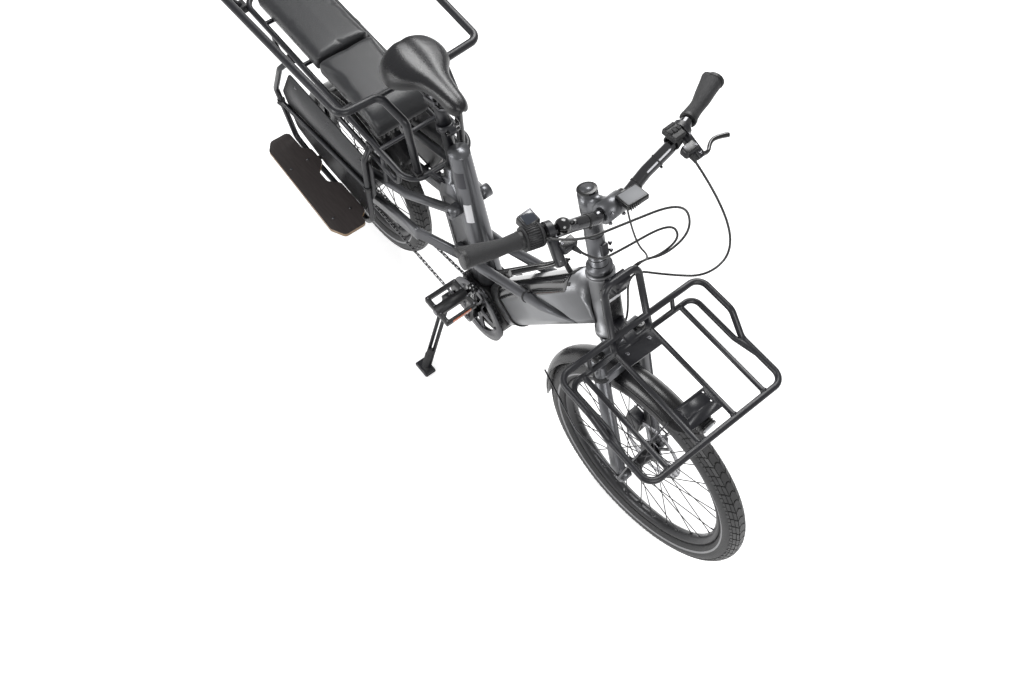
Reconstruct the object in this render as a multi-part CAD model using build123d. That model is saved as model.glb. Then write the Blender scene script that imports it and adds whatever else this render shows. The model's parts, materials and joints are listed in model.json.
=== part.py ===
"""Longtail cargo bike: 24 inch front wheel, 20 inch rear wheel, mid motor, seat pads, centre stand.

Millimetres. +X is forward, +Y is the rider's left, +Z is up, and the ground is z = 0.
While modelling, x is measured forward from the rear axle. On export every piece is moved back by
MID_LENGTH, so that the origin is on the ground under the middle of the bike.
"""
from build123d import *
import math
import os

# ---- driving dimensions -------------------------------------------------------------------------
WHEELBASE = 1150
MID_LENGTH = 520            # from the rear axle forward to the origin
REAR_END = -422             # rearmost point, behind the rear axle
HEAD_ANGLE = 69.5           # degrees from the ground
FORK_OFFSET = 45
STEER_REST = 3.6            # degrees to the left, as it stands parked

FRONT_R = 313.5             # 24 inch wheel with a 60 mm tyre
REAR_R = 263                # 20 inch wheel with a 60 mm tyre
TYRE_R = 29                 # half the tyre's width
RIM_DEPTH = 19
RIM_WIDTH = 34
SPOKE_R = 1.2
SPOKES = 32

CRANK_X, CRANK_Z = 566, 310
CRANK_LENGTH = 169
CRANK_LEAN = 7              # degrees forward of straight up, right arm
PEDAL_Y = 160
RING_R = 92
RING_Y = -52

SEAT_ANGLE = 73.5           # degrees from the ground
SEAT_X, SEAT_Z = 394, 701   # where the post's axis leaves the seat tube
POST_R = 14
SLEEVE_R = 16.5             # the post above its collar

DOWN_TUBE_DEPTH = 124
DOWN_TUBE_WIDTH = 82
DOWN_TUBE_ANGLE = 56        # degrees from the ground

RACK_Z = 745                # front deck's slats
RACK_HALF_W = 196
RACK_REAR_X, RACK_FRONT_X = 1006, 1285
PLATE_X, PLATE_HOLE_R = 1214, 2.75     # drilled plate on the front rack

PAD_TOP_Z = 705
PAD_HALF_W = 83
PAD_THICK = 42
RAIL_REAR_Y, RAIL_FRONT_Y = 216, 196   # safety rail's sides, which splay a little to the rear
RAIL_Z = 862
REST_GAP = 0.1              # between faces of two pieces that rest on each other
BOARD_Z = 322               # footboards' undersides
BOARD_THICK = 12
BOARD_OUT_Y = 232
STAND_PIVOT = (432, 0, 188)
STAND_FOOT = (492, 190)

# ---- axes worked out from them ------------------------------------------------------------------
HEAD = math.radians(HEAD_ANGLE)
STEER_DIR = Vector(-math.cos(HEAD), 0, math.sin(HEAD))
STEER_FWD = Vector(math.sin(HEAD), 0, math.cos(HEAD))
FRONT_AXLE = Vector(WHEELBASE, 0, FRONT_R)
REAR_AXLE = Vector(0, 0, REAR_R)
STEER_BASE = FRONT_AXLE - STEER_FWD * FORK_OFFSET
STEER_AXIS = Axis(STEER_BASE, STEER_DIR)
SEAT = math.radians(SEAT_ANGLE)
SEAT_DIR = Vector(-math.cos(SEAT), 0, math.sin(SEAT))
SEAT_FWD = Vector(math.sin(SEAT), 0, math.cos(SEAT))
SEAT_POINT = Vector(SEAT_X, 0, SEAT_Z)


def on_steer(height, forward=0, side=0):
    """Point near the steering axis: its height where the axis is, then forward and to the left."""
    along = (height - STEER_BASE.Z) / STEER_DIR.Z
    return STEER_BASE + STEER_DIR * along + STEER_FWD * forward + Vector(0, side, 0)


def on_seat(along, forward=0, side=0):
    """Point measured up the seat tube's axis from where the post leaves it."""
    return SEAT_POINT + SEAT_DIR * along + SEAT_FWD * forward + Vector(0, side, 0)


# ---- building helpers ---------------------------------------------------------------------------
def rod(start, end, radius):
    start, end = Vector(*start), Vector(*end)
    return Solid.make_cylinder(radius, (end - start).length, Plane(start, z_dir=end - start))


def ring(start, end, radius, bore):
    return rod(start, end, radius) - rod(start, end, bore)


def tube(points, radius, bend):
    """Round tube along straight runs joined by tangent arcs."""
    path = FilletPolyline(*[tuple(p) for p in points], radius=bend)
    section = Plane(path @ 0, z_dir=path % 0) * Circle(radius)
    return sweep(section, path=path)


def closed_tube(points, radius, bend):
    """Closed round tube with a bend at every point."""
    path = FilletPolyline(*[tuple(p) for p in points], radius=bend, close=True)
    section = Plane(path @ 0, z_dir=path % 0) * Circle(radius)
    return sweep(section, path=path)


def beam(start, end, depth, width, corner, lift=(0, 0, 1)):
    """Straight bar with a rounded rectangular section; depth lies towards lift, width across it."""
    start, end = Vector(*start), Vector(*end)
    across = Vector(*lift).cross(end - start)
    plane = Plane(start, x_dir=across, z_dir=end - start)
    return extrude(plane * RectangleRounded(width, depth, corner), (end - start).length)


def slab(points, y_low, y_high, corner=0):
    """Flat plate from an outline in the X-Z plane, between two y values."""
    outline = make_face(Polyline(*points, close=True))
    if corner:
        outline = fillet(outline.vertices(), corner)
    return extrude(Plane.XZ.offset(-y_high) * outline, y_high - y_low)


def block(center, size, corner=0):
    body = Pos(*center) * Box(*size)
    return fillet(body.edges(), corner) if corner else body


def spun(profile, center):
    """Solid of revolution about a line along Y through center; profile holds (radius, y) points."""
    face = make_face(Polyline(*profile, close=True))
    return Pos(*center) * Rot(-90, 0, 0) * revolve(Plane.XZ * face, Axis.Z)


def mirrored(part):
    """The part and its mirror image on the bike's other side."""
    return [part, mirror(part, about=Plane.XZ)]


def steered(part):
    return part.rotate(STEER_AXIS, STEER_REST)


# ---- wheels -------------------------------------------------------------------------------------
def tyre(center, outer_r):
    seat_r = outer_r - 2 * TYRE_R + 4
    section = Pos(outer_r - TYRE_R, 0) * Circle(TYRE_R)
    section -= Pos(seat_r - 20, 0) * Rectangle(40, 4 * TYRE_R)
    return Pos(*center) * Rot(-90, 0, 0) * revolve(Plane.XZ * section, Axis.Z)


def rim(center, outer_r, hub_profile, flange_r, flange_y, bore):
    """Rim, crossed spokes and hub shell as one piece."""
    edge_r = outer_r - 2 * TYRE_R + 3.6
    half = RIM_WIDTH / 2
    band = spun([(edge_r, -half), (edge_r, half), (edge_r - 9, half - 1),
                 (edge_r - RIM_DEPTH, 7), (edge_r - RIM_DEPTH, -7), (edge_r - 9, 1 - half)], center)
    hub = spun(hub_profile, center)
    spokes = []
    for i in range(SPOKES):
        left = i % 2
        cross = 1 if (i // 2) % 2 else -1
        angle = 2 * math.pi * i / SPOKES
        hub_angle = angle + cross * math.radians(62)
        inner = Vector(center[0] + (flange_r - 3) * math.cos(hub_angle), flange_y[left],
                       center[2] + (flange_r - 3) * math.sin(hub_angle))
        outer = Vector(center[0] + (edge_r - 12) * math.cos(angle), 3 if left else -3,
                       center[2] + (edge_r - 12) * math.sin(angle))
        spokes.append(rod(inner, outer, SPOKE_R))
    whole = band.fuse(hub, *spokes)
    return whole - rod((center[0], -80, center[2]), (center[0], 80, center[2]), bore)


def toothed_ring(center, tip_r, bore_r, teeth):
    """Sprocket lying in the chain's plane: a band with square teeth that stop short of the chain."""
    face = Circle(tip_r - 3.5) - Circle(bore_r)
    face += [Rot(0, 0, 360 / teeth * i) * Pos(tip_r - 3.5, 0) * Rectangle(7, 4.5) for i in range(teeth)]
    return Pos(center[0], RING_Y + 1.5, center[2]) * Rot(90, 0, 0) * extrude(face, 3)


def rotor(center, y, radius):
    """Brake disc: braking band, straight arms and carrier, 2 mm thick."""
    bore_r = 22
    band = Circle(radius) - Circle(radius - 15)
    carrier = Circle(bore_r + 8) - Circle(bore_r)
    arms = [Rot(0, 0, 60 * i) * Pos((radius + bore_r) / 2, 0) * Rectangle(radius - bore_r - 10, 9)
            for i in range(6)]
    holes = [Rot(0, 0, 20 * i) * Pos(radius - 7.5, 0) * Circle(2.6) for i in range(18)]
    face = band + carrier + arms - holes
    return Pos(center[0], y, center[2]) * Rot(90, 0, 0) * extrude(face, 2)


AXLE_R = 6
HUB_BORE = 6.05
FRONT_HUB = [(0, -43), (12, -43), (12, -34), (27, -32), (27, -28), (15, -24), (15, 18), (27, 20),
             (27, 24), (22, 26), (22, 40), (12, 43), (0, 43)]
FRONT_FLANGES = (-30, 22)
REAR_HUB = [(0, -60), (14, -60), (14, -41), (40, -32), (48, -30), (48, -26), (42, -24), (42, 20),
            (48, 22), (48, 26), (40, 28), (22, 34), (22, 52), (12, 55), (0, 55)]
REAR_FLANGES = (-28, 24)
SPROCKET_R = 40


def front_wheel():
    c = tuple(FRONT_AXLE)
    return {
        "front_tyre": steered(tyre(c, FRONT_R)),
        "front_rim": steered(rim(c, FRONT_R, FRONT_HUB, 27, FRONT_FLANGES, HUB_BORE)),
        "front_rotor": steered(rotor(c, 38, 90)),
    }


def rear_wheel():
    c = tuple(REAR_AXLE)
    return {
        "rear_tyre": tyre(c, REAR_R),
        "rear_rim": rim(c, REAR_R, REAR_HUB, 48, REAR_FLANGES, HUB_BORE),
        "rear_sprocket": toothed_ring(c, SPROCKET_R, 14, 20),
        "rear_rotor": rotor(c, 46, 80),
    }


# ---- frame --------------------------------------------------------------------------------------
DOWN = math.radians(DOWN_TUBE_ANGLE)
DOWN_DIR = Vector(math.cos(DOWN), 0, math.sin(DOWN))
DOWN_UP = Vector(-math.sin(DOWN), 0, math.cos(DOWN))     # square to the down tube, away from the ground
DOWN_START = Vector(594, 0, 318)
DOWN_END = DOWN_START + DOWN_DIR * 552
DOWN_CORNER = 36
HEAD_LOW_Z, HEAD_TOP_Z = 700, 868
HEAD_R = 28
STEERER_R = 14


def head_tube():
    low, top = on_steer(HEAD_LOW_Z), on_steer(HEAD_TOP_Z)
    shell = rod(low, top, HEAD_R) + rod(top - STEER_DIR * 14, top, HEAD_R + 3)
    shell += rod(low, low + STEER_DIR * 16, HEAD_R + 4)
    return shell - rod(low - STEER_DIR * 20, top + STEER_DIR * 20, STEERER_R + 0.05)


def down_tube():
    body = beam(DOWN_START, DOWN_END, DOWN_TUBE_DEPTH, DOWN_TUBE_WIDTH, DOWN_CORNER)
    head_clear = rod(on_steer(600), on_steer(960), HEAD_R + 4)
    front_cut = Plane(on_steer(780, -4), z_dir=STEER_FWD) * Pos(0, 0, 100) * Box(400, 400, 200)
    return body - head_clear - front_cut


def battery_cover():
    """Shell over the down tube's upper half, notched where the mixte stays run down its sides."""
    thick = 3
    start, end = DOWN_START + DOWN_DIR * 120, DOWN_START + DOWN_DIR * 450
    outside = beam(start, end, DOWN_TUBE_DEPTH + 2 * thick, DOWN_TUBE_WIDTH + 2 * thick,
                   DOWN_CORNER + thick, lift=tuple(DOWN_UP))
    inside = beam(start - DOWN_DIR, end + DOWN_DIR, DOWN_TUBE_DEPTH + 2 * REST_GAP,
                  DOWN_TUBE_WIDTH + 2 * REST_GAP, DOWN_CORNER + REST_GAP, lift=tuple(DOWN_UP))
    lower_half = Plane(start, z_dir=DOWN_UP) * Pos(0, 0, -96) * Box(1200, 200, 200)
    stays = mixte_stays()
    cover = outside - inside - lower_half - stays[0] - stays[1]
    return cover.solids().sort_by(SortBy.VOLUME)[-1]


def seat_tube():
    """Round mouth for the post, a flat-sided body behind it and a taller rounded lobe in front."""
    mouth = rod(on_seat(-90), on_seat(0), 23)
    outline = [on_seat(along, forward) for along, forward in
               ((-28, -18), (-98, -56), (-331, -44), (-345, 40), (-60, 30), (-34, 10))]
    body = slab([(p.X, p.Z) for p in outline], -29, 29, 8)
    foot = Plane(on_seat(-345, 46), x_dir=(0, 1, 0), z_dir=SEAT_DIR) * RectangleRounded(72, 72, 30)
    head = Plane(on_seat(66, 38), x_dir=(0, 1, 0), z_dir=SEAT_DIR) * RectangleRounded(52, 50, 23)
    lobe = loft([foot, head])
    slope = Plane(on_seat(58, 60), z_dir=SEAT_DIR * 0.95 + SEAT_FWD * 0.3)
    lobe -= slope * Pos(0, 0, 60) * Box(220, 220, 120)
    return mouth.fuse(body, lobe) - rod(on_seat(-180), on_seat(140), POST_R + 0.05)


def drive_unit():
    """Motor as one plain block with its round side covers and the bottom bracket shell."""
    body = slab([(478, 372), (500, 262), (560, 240), (642, 262), (672, 352), (600, 396)], -44, 44, 14)
    covers = rod((CRANK_X, -47, CRANK_Z), (CRANK_X, 47, CRANK_Z), 52)
    gap = rod((CRANK_X, -90, CRANK_Z), (CRANK_X, 90, CRANK_Z), 9.05)
    return body + covers - gap - down_tube() - seat_tube()


def mixte_stays():
    """Twin tubes from the seat tube forward and up to the down tube's sides."""
    side = tube([(462, -40, 470), (560, -46, 496), (790, -47, 622), (884, -26, 676)], 13, 60)
    side -= down_tube()
    side -= seat_tube()
    side = side.solids().sort_by(SortBy.VOLUME)[-1]
    return mirrored(side)


def chainstays():
    """Raised flat stays: from the seat tube over the chain, then down outside it to the dropouts."""
    y = -78
    front = beam((480, -30, 428), (322, y, 406), 40, 14, 6)
    stay = slab([(338, 432), (338, 386), (150, 330), (-34, 244), (-34, 284), (110, 362), (250, 410)],
                y - 6, y + 6, 8)
    side = stay + front
    side -= seat_tube()
    side -= rod((0, -120, REAR_R), (0, 120, REAR_R), AXLE_R)
    side = side.solids().sort_by(SortBy.VOLUME)[-1]
    return mirrored(side)


def rear_axle():
    return rod((0, -92, REAR_R), (0, 92, REAR_R), AXLE_R)


# ---- rear carrier -------------------------------------------------------------------------------
STAY_BALL = (451, 44, 616)


def rack_stays():
    """Upper stays from balls on the seat tube back and down past the wheel to the axle plates."""
    ball = Vector(STAY_BALL[0], -STAY_BALL[1], STAY_BALL[2])
    upper = tube([ball, (300, -78, 545), (60, -92, 452), (-30, -92, 400), (-20, -90, 290)], 12, 40)
    knob = rod((ball.X, -16, ball.Z), (ball.X, -62, ball.Z), 17)
    side = upper + knob
    side -= seat_tube()
    side -= chainstays()[0]
    side = side.solids().sort_by(SortBy.VOLUME)[-1]
    return mirrored(side)


RACK_TUBE_R = 8
RACK_SIDE_Y = 98
RACK_TUBE_Z = PAD_TOP_Z - PAD_THICK - RACK_TUBE_R - 1
LOW_RAIL_Z = 600
CROSS_BAR_X = (-300, -120, 60, 220)
CROSS_BAR_R = 6
CROSS_BAR_Z = PAD_TOP_Z - PAD_THICK - CROSS_BAR_R - REST_GAP     # the pads rest on the cross bars


def rear_rack():
    """Top loop under the pads, second rail below it, cross bars and the legs to the stays."""
    z = RACK_TUBE_Z
    y = RACK_SIDE_Y
    rear = REAR_END + RACK_TUBE_R + 2
    loop = closed_tube([(350, -y, z), (rear, -y, z), (rear, y, z), (350, y, z)], RACK_TUBE_R, 46)
    parts = [loop]
    for x in CROSS_BAR_X:
        parts.append(rod((x, -y, CROSS_BAR_Z), (x, y, CROSS_BAR_Z), CROSS_BAR_R))
    for side in (-1, 1):
        parts.append(tube([(300, side * y, z), (300, side * y, LOW_RAIL_Z), (-260, side * y, LOW_RAIL_Z),
                           (-260, side * y, z)], 6.5, 24))
        parts.append(rod((-30, side * y, z), (-30, side * 96, 412), 7))
        parts.append(rod((230, side * y, z), (230, side * 92, 540), 7))
        parts.append(rod((351, side * 40, z), (392, side * 24, z), 7))
    stays = rack_stays()
    return parts[0].fuse(*parts[1:]) - seat_tube() - stays[0] - stays[1]


def pad(rear_x, front_x, thick, nose):
    """Seat pad; with a nose, its front end curves down."""
    low = PAD_TOP_Z - thick
    middle = Pos((rear_x + front_x) / 2, 0, PAD_TOP_Z - thick / 2)
    body = middle * Box(front_x - rear_x, 2 * PAD_HALF_W, thick)
    if nose:
        high = PAD_TOP_Z
        front = slab([(front_x - 1, high), (front_x + 30, high - 5), (front_x + 56, high - 22),
                      (front_x + 70, high - 48), (front_x + 70, low - 14), (front_x + 44, low - 14),
                      (front_x + 20, low), (front_x - 1, low)], -PAD_HALF_W, PAD_HALF_W)
        body += front
    return body


def seat_pads():
    return {
        "rear_seat_pad": pad(-365, -73, PAD_THICK, False),
        "front_seat_pad": pad(-66, 124, PAD_THICK, True),
    }


def safety_rail():
    """Passenger rail: a bar along each side that sweeps inward and down to the seat tube."""
    sides = []
    for side in (-1, 1):
        sides.append(tube([(-390, side * 112, RACK_TUBE_Z), (-398, side * RAIL_REAR_Y, RAIL_Z - 70),
                           (-374, side * RAIL_REAR_Y, RAIL_Z), (232, side * RAIL_FRONT_Y, RAIL_Z),
                           (234, side * 90, RAIL_Z - 6), (310, side * 72, RAIL_Z - 40),
                           (338, side * 66, RACK_TUBE_Z + 8)], 10, 24))
    cross = rod((234, -100, RAIL_Z - 6), (234, 100, RAIL_Z - 6), 7)
    return sides[0].fuse(sides[1], cross)


LOWER_BAR_R = 7             # the bars that the footboards rest on
GUARD_OUT_Y, GUARD_THICK = 117.9, 4


def rack_lug(x, side):
    """Cradle under the rack's side tube that a side rail is welded to."""
    body = block((x, side * (RACK_SIDE_Y + 3), RACK_TUBE_Z - 11), (22, 16, 18))
    return body - rod((x - 20, side * RACK_SIDE_Y, RACK_TUBE_Z), (x + 20, side * RACK_SIDE_Y, RACK_TUBE_Z),
                      RACK_TUBE_R + REST_GAP)


def side_rails():
    """Tubes outside the wheel on each side, hung from the rack, that carry the guard and the footboard."""
    rails = []
    stays = rack_stays()
    for side in (-1, 1):
        y = side * 126
        hoop = tube([(-170, side * 104, 640), (-206, y, 590), (-262, y, 466), (-198, y, 322),
                     (-120, y, BOARD_Z - 12), (160, y, BOARD_Z - 12), (184, y, 344), (184, y, 596),
                     (186, side * 104, 640)], 8, 22)
        middle = rod((-246, y, 428), (184, y, 484), 7)
        lower_z = BOARD_Z - LOWER_BAR_R - REST_GAP
        lower = [rod((x, side * 100, lower_z), (x, side * (BOARD_OUT_Y - 16), lower_z), LOWER_BAR_R)
                 for x in (-100, 110)]
        lugs = [rack_lug(x, side) for x in (-170, 186)]
        rails.append(hoop.fuse(middle, *lower, *lugs) - stays[0 if side < 0 else 1])
    return rails


def wheel_guards():
    """Flat side skirts that keep feet and clothes out of the rear wheel."""
    plate = slab([(-240, 470), (-196, 362), (-60, 330), (140, 330), (172, 400), (204, 470), (204, 590),
                  (-176, 590)], -GUARD_OUT_Y, GUARD_THICK - GUARD_OUT_Y, 20)
    return mirrored(plate)


def footboards():
    """Plywood running boards with a heel notch inside, cut back where the side tube climbs past them."""
    outline = make_face(Polyline((-218, -140), (-218, -200), (-190, -BOARD_OUT_Y + 10), (134, -BOARD_OUT_Y),
                                 (176, -BOARD_OUT_Y + 22), (176, -140), (150, -140), (140, -120),
                                 (22, -120), (-4, -148), (-46, -148), (-72, -120), (-128, -120),
                                 (-142, -140), close=True))
    board = Pos(0, 0, BOARD_Z) * extrude(fillet(outline.vertices(), 7), BOARD_THICK)
    return mirrored(board)


def rear_fender():
    """Mudguard close round the rear tyre, hung from two of the rack's cross bars."""
    inner, outer = REAR_R + 16.5, REAR_R + 20
    shell = extrude(Circle(outer) - Circle(inner), 35, both=True)
    shell = Pos(*REAR_AXLE) * Rot(90, 0, 0) * shell
    keep = Pos(-150, 0, 520) * Box(660, 90, 540)
    hangers = []
    for x in CROSS_BAR_X[1:3]:
        skin_z = REAR_R + math.sqrt(((inner + outer) / 2) ** 2 - x ** 2)
        hangers.append(rod((x, 0, skin_z), (x, 0, CROSS_BAR_Z - CROSS_BAR_R - REST_GAP), 5))
    return (shell & keep).fuse(*hangers)


def rear_light():
    height = 40
    z = RACK_TUBE_Z - RACK_TUBE_R - height / 2 - REST_GAP
    return block((REAR_END + 12, 0, z), (24, 92, height), 8)


# ---- saddle -------------------------------------------------------------------------------------
SADDLE_Z = 912              # the saddle's underside


def seat_post():
    """Suspension post: slim below the collar, thicker above it."""
    return rod(on_seat(-175), on_seat(124), POST_R) + rod(on_seat(124), on_seat(196), SLEEVE_R)


def post_clamp():
    """Quick-release collar on the post, with its lever's lug in front."""
    collar = rod(on_seat(106), on_seat(123.5), 21)
    lug = beam(on_seat(115, 12), on_seat(115, 36), 14, 20, 4, lift=tuple(SEAT_DIR))
    return collar + lug - rod(on_seat(-180), on_seat(190), POST_R)


def saddle_rails():
    head = rod(on_seat(196.5, 0, -24), on_seat(196.5, 0, 24), 17)
    end_z = SADDLE_Z - 3.2
    rails = [tube([(205, y, end_z), (235, y, 889), (375, y, 893), (402, y * 0.5, end_z)], 3.5, 10)
             for y in (-22, 22)]
    return head.fuse(*rails) - seat_post()


def saddle():
    """Wide comfort saddle as one soft solid: rounded lobes behind, a narrow nose in front."""
    outline = make_face(Spline((432, 0), (421, 18), (362, 28), (304, 66), (258, 84), (218, 72), (200, 36),
                               (206, 0), (200, -36), (218, -72), (258, -84), (304, -66), (362, -28),
                               (421, -18), (432, 0)))
    return Pos(0, 0, SADDLE_Z) * extrude(outline, 46)


# ---- steering -----------------------------------------------------------------------------------
LEG_Y = 64
LEG_FWD = 24
CROWN_LOW, CROWN_TOP = 378, 408      # along the steering axis, up from STEER_BASE
STEERER_TOP = 822                    # along the same axis
STEM_HEAD_Z, STEM_CAP_Z = 1016, 1056
BAR_X, BAR_Z = 885, 1072             # handlebar's middle
BAR_R = 13
GRIP_Y = 325
GRIP_LENGTH = 108
LEVER_RIGHT_Y, LEVER_LEFT_Y = 164, 190   # the levers' clamps along the bar
RIGHT_BLADE = [(926, -180, 1102), (928, -206, 1094), (908, -238, 1098), (912, -264, 1098)]
LEFT_BLADE = [(922, 190, 1114), (932, 210, 1108), (915, 232, 1110), (914, 252, 1111), (926, 275, 1111)]


def on_fork(along, forward=0, side=0):
    return STEER_BASE + STEER_DIR * along + STEER_FWD * forward + Vector(0, side, 0)


def fork():
    """Suspension fork: steerer, crown, stanchions, lower legs and the arch over the tyre."""
    whole = rod(on_fork(CROWN_LOW), on_fork(STEERER_TOP), STEERER_R)
    race = rod(on_fork(CROWN_TOP - 1), on_steer(HEAD_LOW_Z - 0.4), 25)
    crown = beam(on_fork((CROWN_LOW + CROWN_TOP) / 2, 12, -LEG_Y - 17),
                 on_fork((CROWN_LOW + CROWN_TOP) / 2, 12, LEG_Y + 17), CROWN_TOP - CROWN_LOW, 46, 12,
                 lift=tuple(STEER_DIR))
    parts = [race, crown]
    for side in (-LEG_Y, LEG_Y):
        parts.append(rod(on_fork(300, LEG_FWD, side), on_fork(CROWN_LOW + 5, LEG_FWD, side), 14))
        parts.append(rod(on_fork(6, LEG_FWD, side), on_fork(345, LEG_FWD, side), 17.5))
        axle_end = on_fork(0, FORK_OFFSET, side)
        parts.append(rod(axle_end - Vector(0, 12, 0), axle_end + Vector(0, 12, 0), 14))
        parts.append(beam(on_fork(0, FORK_OFFSET, side), on_fork(30, LEG_FWD, side), 20, 20, 5,
                          lift=(0, 1, 0)))
        eyelet = on_fork(14, FORK_OFFSET + 4, 0)
        parts.append(rod(eyelet + Vector(0, side, 0), eyelet + Vector(0, math.copysign(83.8, side), 0), 4))
    parts.append(beam(on_fork(345, LEG_FWD + 12, -LEG_Y), on_fork(345, LEG_FWD + 12, LEG_Y), 24, 14, 5,
                      lift=tuple(STEER_DIR)))
    whole = whole.fuse(*parts)
    return whole - rod(on_fork(0, FORK_OFFSET, -90), on_fork(0, FORK_OFFSET, 90), AXLE_R)


def front_axle():
    return rod(on_fork(0, FORK_OFFSET, -84), on_fork(0, FORK_OFFSET, 80), AXLE_R)


def stem():
    """Spacer column, clamp, forward arm and bar clamp under a round cap."""
    column = rod(on_steer(HEAD_TOP_Z + 0.4), on_steer(STEM_HEAD_Z), 20)
    collar = rod(on_steer(HEAD_TOP_Z + 0.4), on_steer(HEAD_TOP_Z + 16), 28)
    head = rod(on_steer(STEM_HEAD_Z), on_steer(STEM_CAP_Z), 21)
    cap = rod(on_steer(STEM_CAP_Z), on_steer(STEM_CAP_Z + 8), 19)
    arm = beam(on_steer((STEM_HEAD_Z + STEM_CAP_Z) / 2), (BAR_X, 0, BAR_Z), 34, 32, 14)
    clamp = rod((BAR_X, -26, BAR_Z), (BAR_X, 26, BAR_Z), 22)
    whole = column.fuse(collar, head, cap, arm, clamp)
    return whole - handlebar() - rod(on_fork(CROWN_LOW), on_fork(STEERER_TOP), STEERER_R)


def bar_points():
    half = [(BAR_X, 40, BAR_Z), (878, 96, BAR_Z + 22), (882, 150, 1128), (868, 200, 1140),
            (834, GRIP_Y - 2, 1150)]
    return [(x, -y, z) for x, y, z in reversed(half)] + half


def handlebar():
    return tube(bar_points(), BAR_R, 34)


def bar_at(y):
    """Point on the bar's outer straight run, at this distance to the left or right."""
    t = (abs(y) - 200) / (GRIP_Y - 2 - 200)
    return Vector(868 - 34 * t, y, 1140 + 10 * t)


def grips():
    """Ergonomic grips: a round barrel that flattens to a palm rest behind."""
    parts = []
    for side in (-1, 1):
        outer, inner = bar_at(side * GRIP_Y), bar_at(side * (GRIP_Y - GRIP_LENGTH))
        barrel = rod(inner, outer, 17)
        rest = beam(bar_at(side * (GRIP_Y - 62)) - Vector(8, 0, 0), outer - Vector(12, 0, 0), 12, 22, 5.5)
        parts.append(barrel + rest - handlebar())
    return parts


def shifter():
    """Twist shifter barrel with its blank gear window."""
    barrel = rod(bar_at(-213), bar_at(-178), 22)
    window = block((844, -182, 1147), (32, 34, 20), 5)
    return barrel + window - handlebar()


def brake_levers():
    """Clamp, reservoir and blade on each side; the right ones sit inboard of the shifter."""
    parts = []
    for y, blade_line in ((-LEVER_RIGHT_Y, RIGHT_BLADE), (LEVER_LEFT_Y, LEFT_BLADE)):
        side = math.copysign(1, y)
        root = bar_at(y)
        clamp = rod(bar_at(y - side * 7), bar_at(y + side * 7), 19)
        body = beam(root + Vector(8, 0, -6), Vector(*blade_line[0]) + Vector(4, 0, 0), 20, 22, 6)
        tank = block(tuple(root + Vector(38, -side * 14, -14)), (22, 34, 20), 5)
        parts.append(clamp.fuse(body, tank, tube(blade_line, 5, 10)) - handlebar())
    return parts


def bell():
    base = Vector(BAR_X - 1, -136, BAR_Z + 56)
    dome = rod(base + Vector(2, 0, 5), base + Vector(7, 0, 25), 15)
    return dome + rod(base - Vector(0, 0, 3), base + Vector(3, 0, 8), 8) - handlebar()


def remote():
    root = bar_at(160)
    body = block((root.X - 4, 160, root.Z + 19), (36, 32, 14), 4)
    return body + ring(bar_at(153), bar_at(167), 17, BAR_R) - handlebar()


def display():
    """Screen on an arm ahead of the bar's middle."""
    screen = Pos(BAR_X + 20, 30, BAR_Z + 29) * Rot(0, 14, -8) * Box(36, 46, 13)
    arm = beam((BAR_X + 4, 33, BAR_Z + 12), (BAR_X + 14, 32, BAR_Z + 27), 12, 12, 2)
    clamp = ring((BAR_X, 27, BAR_Z), (BAR_X, 39, BAR_Z), 20, BAR_R)
    return screen + arm + clamp - handlebar() - stem()


FENDER_GAP = 10


def front_fender():
    """Front mudguard, from ahead of the fork round to behind the wheel."""
    inner = FRONT_R + FENDER_GAP
    outline = Circle(inner + 4) - Circle(inner)
    keep = make_face(Polyline((0, 0), (116, 500), (-60, 620), (-600, 300), (-600, -70), close=True))
    shell = extrude(outline & keep, 33, both=True)
    return Pos(*FRONT_AXLE) * Rot(90, 0, 0) * shell


def fender_stays():
    """Wire stays from the fork ends to the fender's edges."""
    wires = []
    reach = FRONT_R + FENDER_GAP + 2
    for side in (-1, 1):
        for angle in (84, 172):
            turn = math.radians(angle)
            tip = FRONT_AXLE + Vector(math.cos(turn), 0, math.sin(turn)) * reach
            foot = on_fork(14, FORK_OFFSET + 4, side * 86)
            middle = (foot + tip) * 0.5 + Vector(0, side * 40, 0)
            wires.append(tube([foot, middle, tip + Vector(0, side * 35.4, 0)], 2.2, 40))
    return wires


def front_caliper():
    body = on_fork(66, LEG_FWD - 34, 42)
    return block(tuple(body), (46, 34, 62), 6) - rotor_slot() - fork()


def rotor_slot():
    """Slot for the front disc with room to run."""
    return rod(FRONT_AXLE + Vector(0, 34.5, 0), FRONT_AXLE + Vector(0, 39.5, 0), 92)


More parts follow.
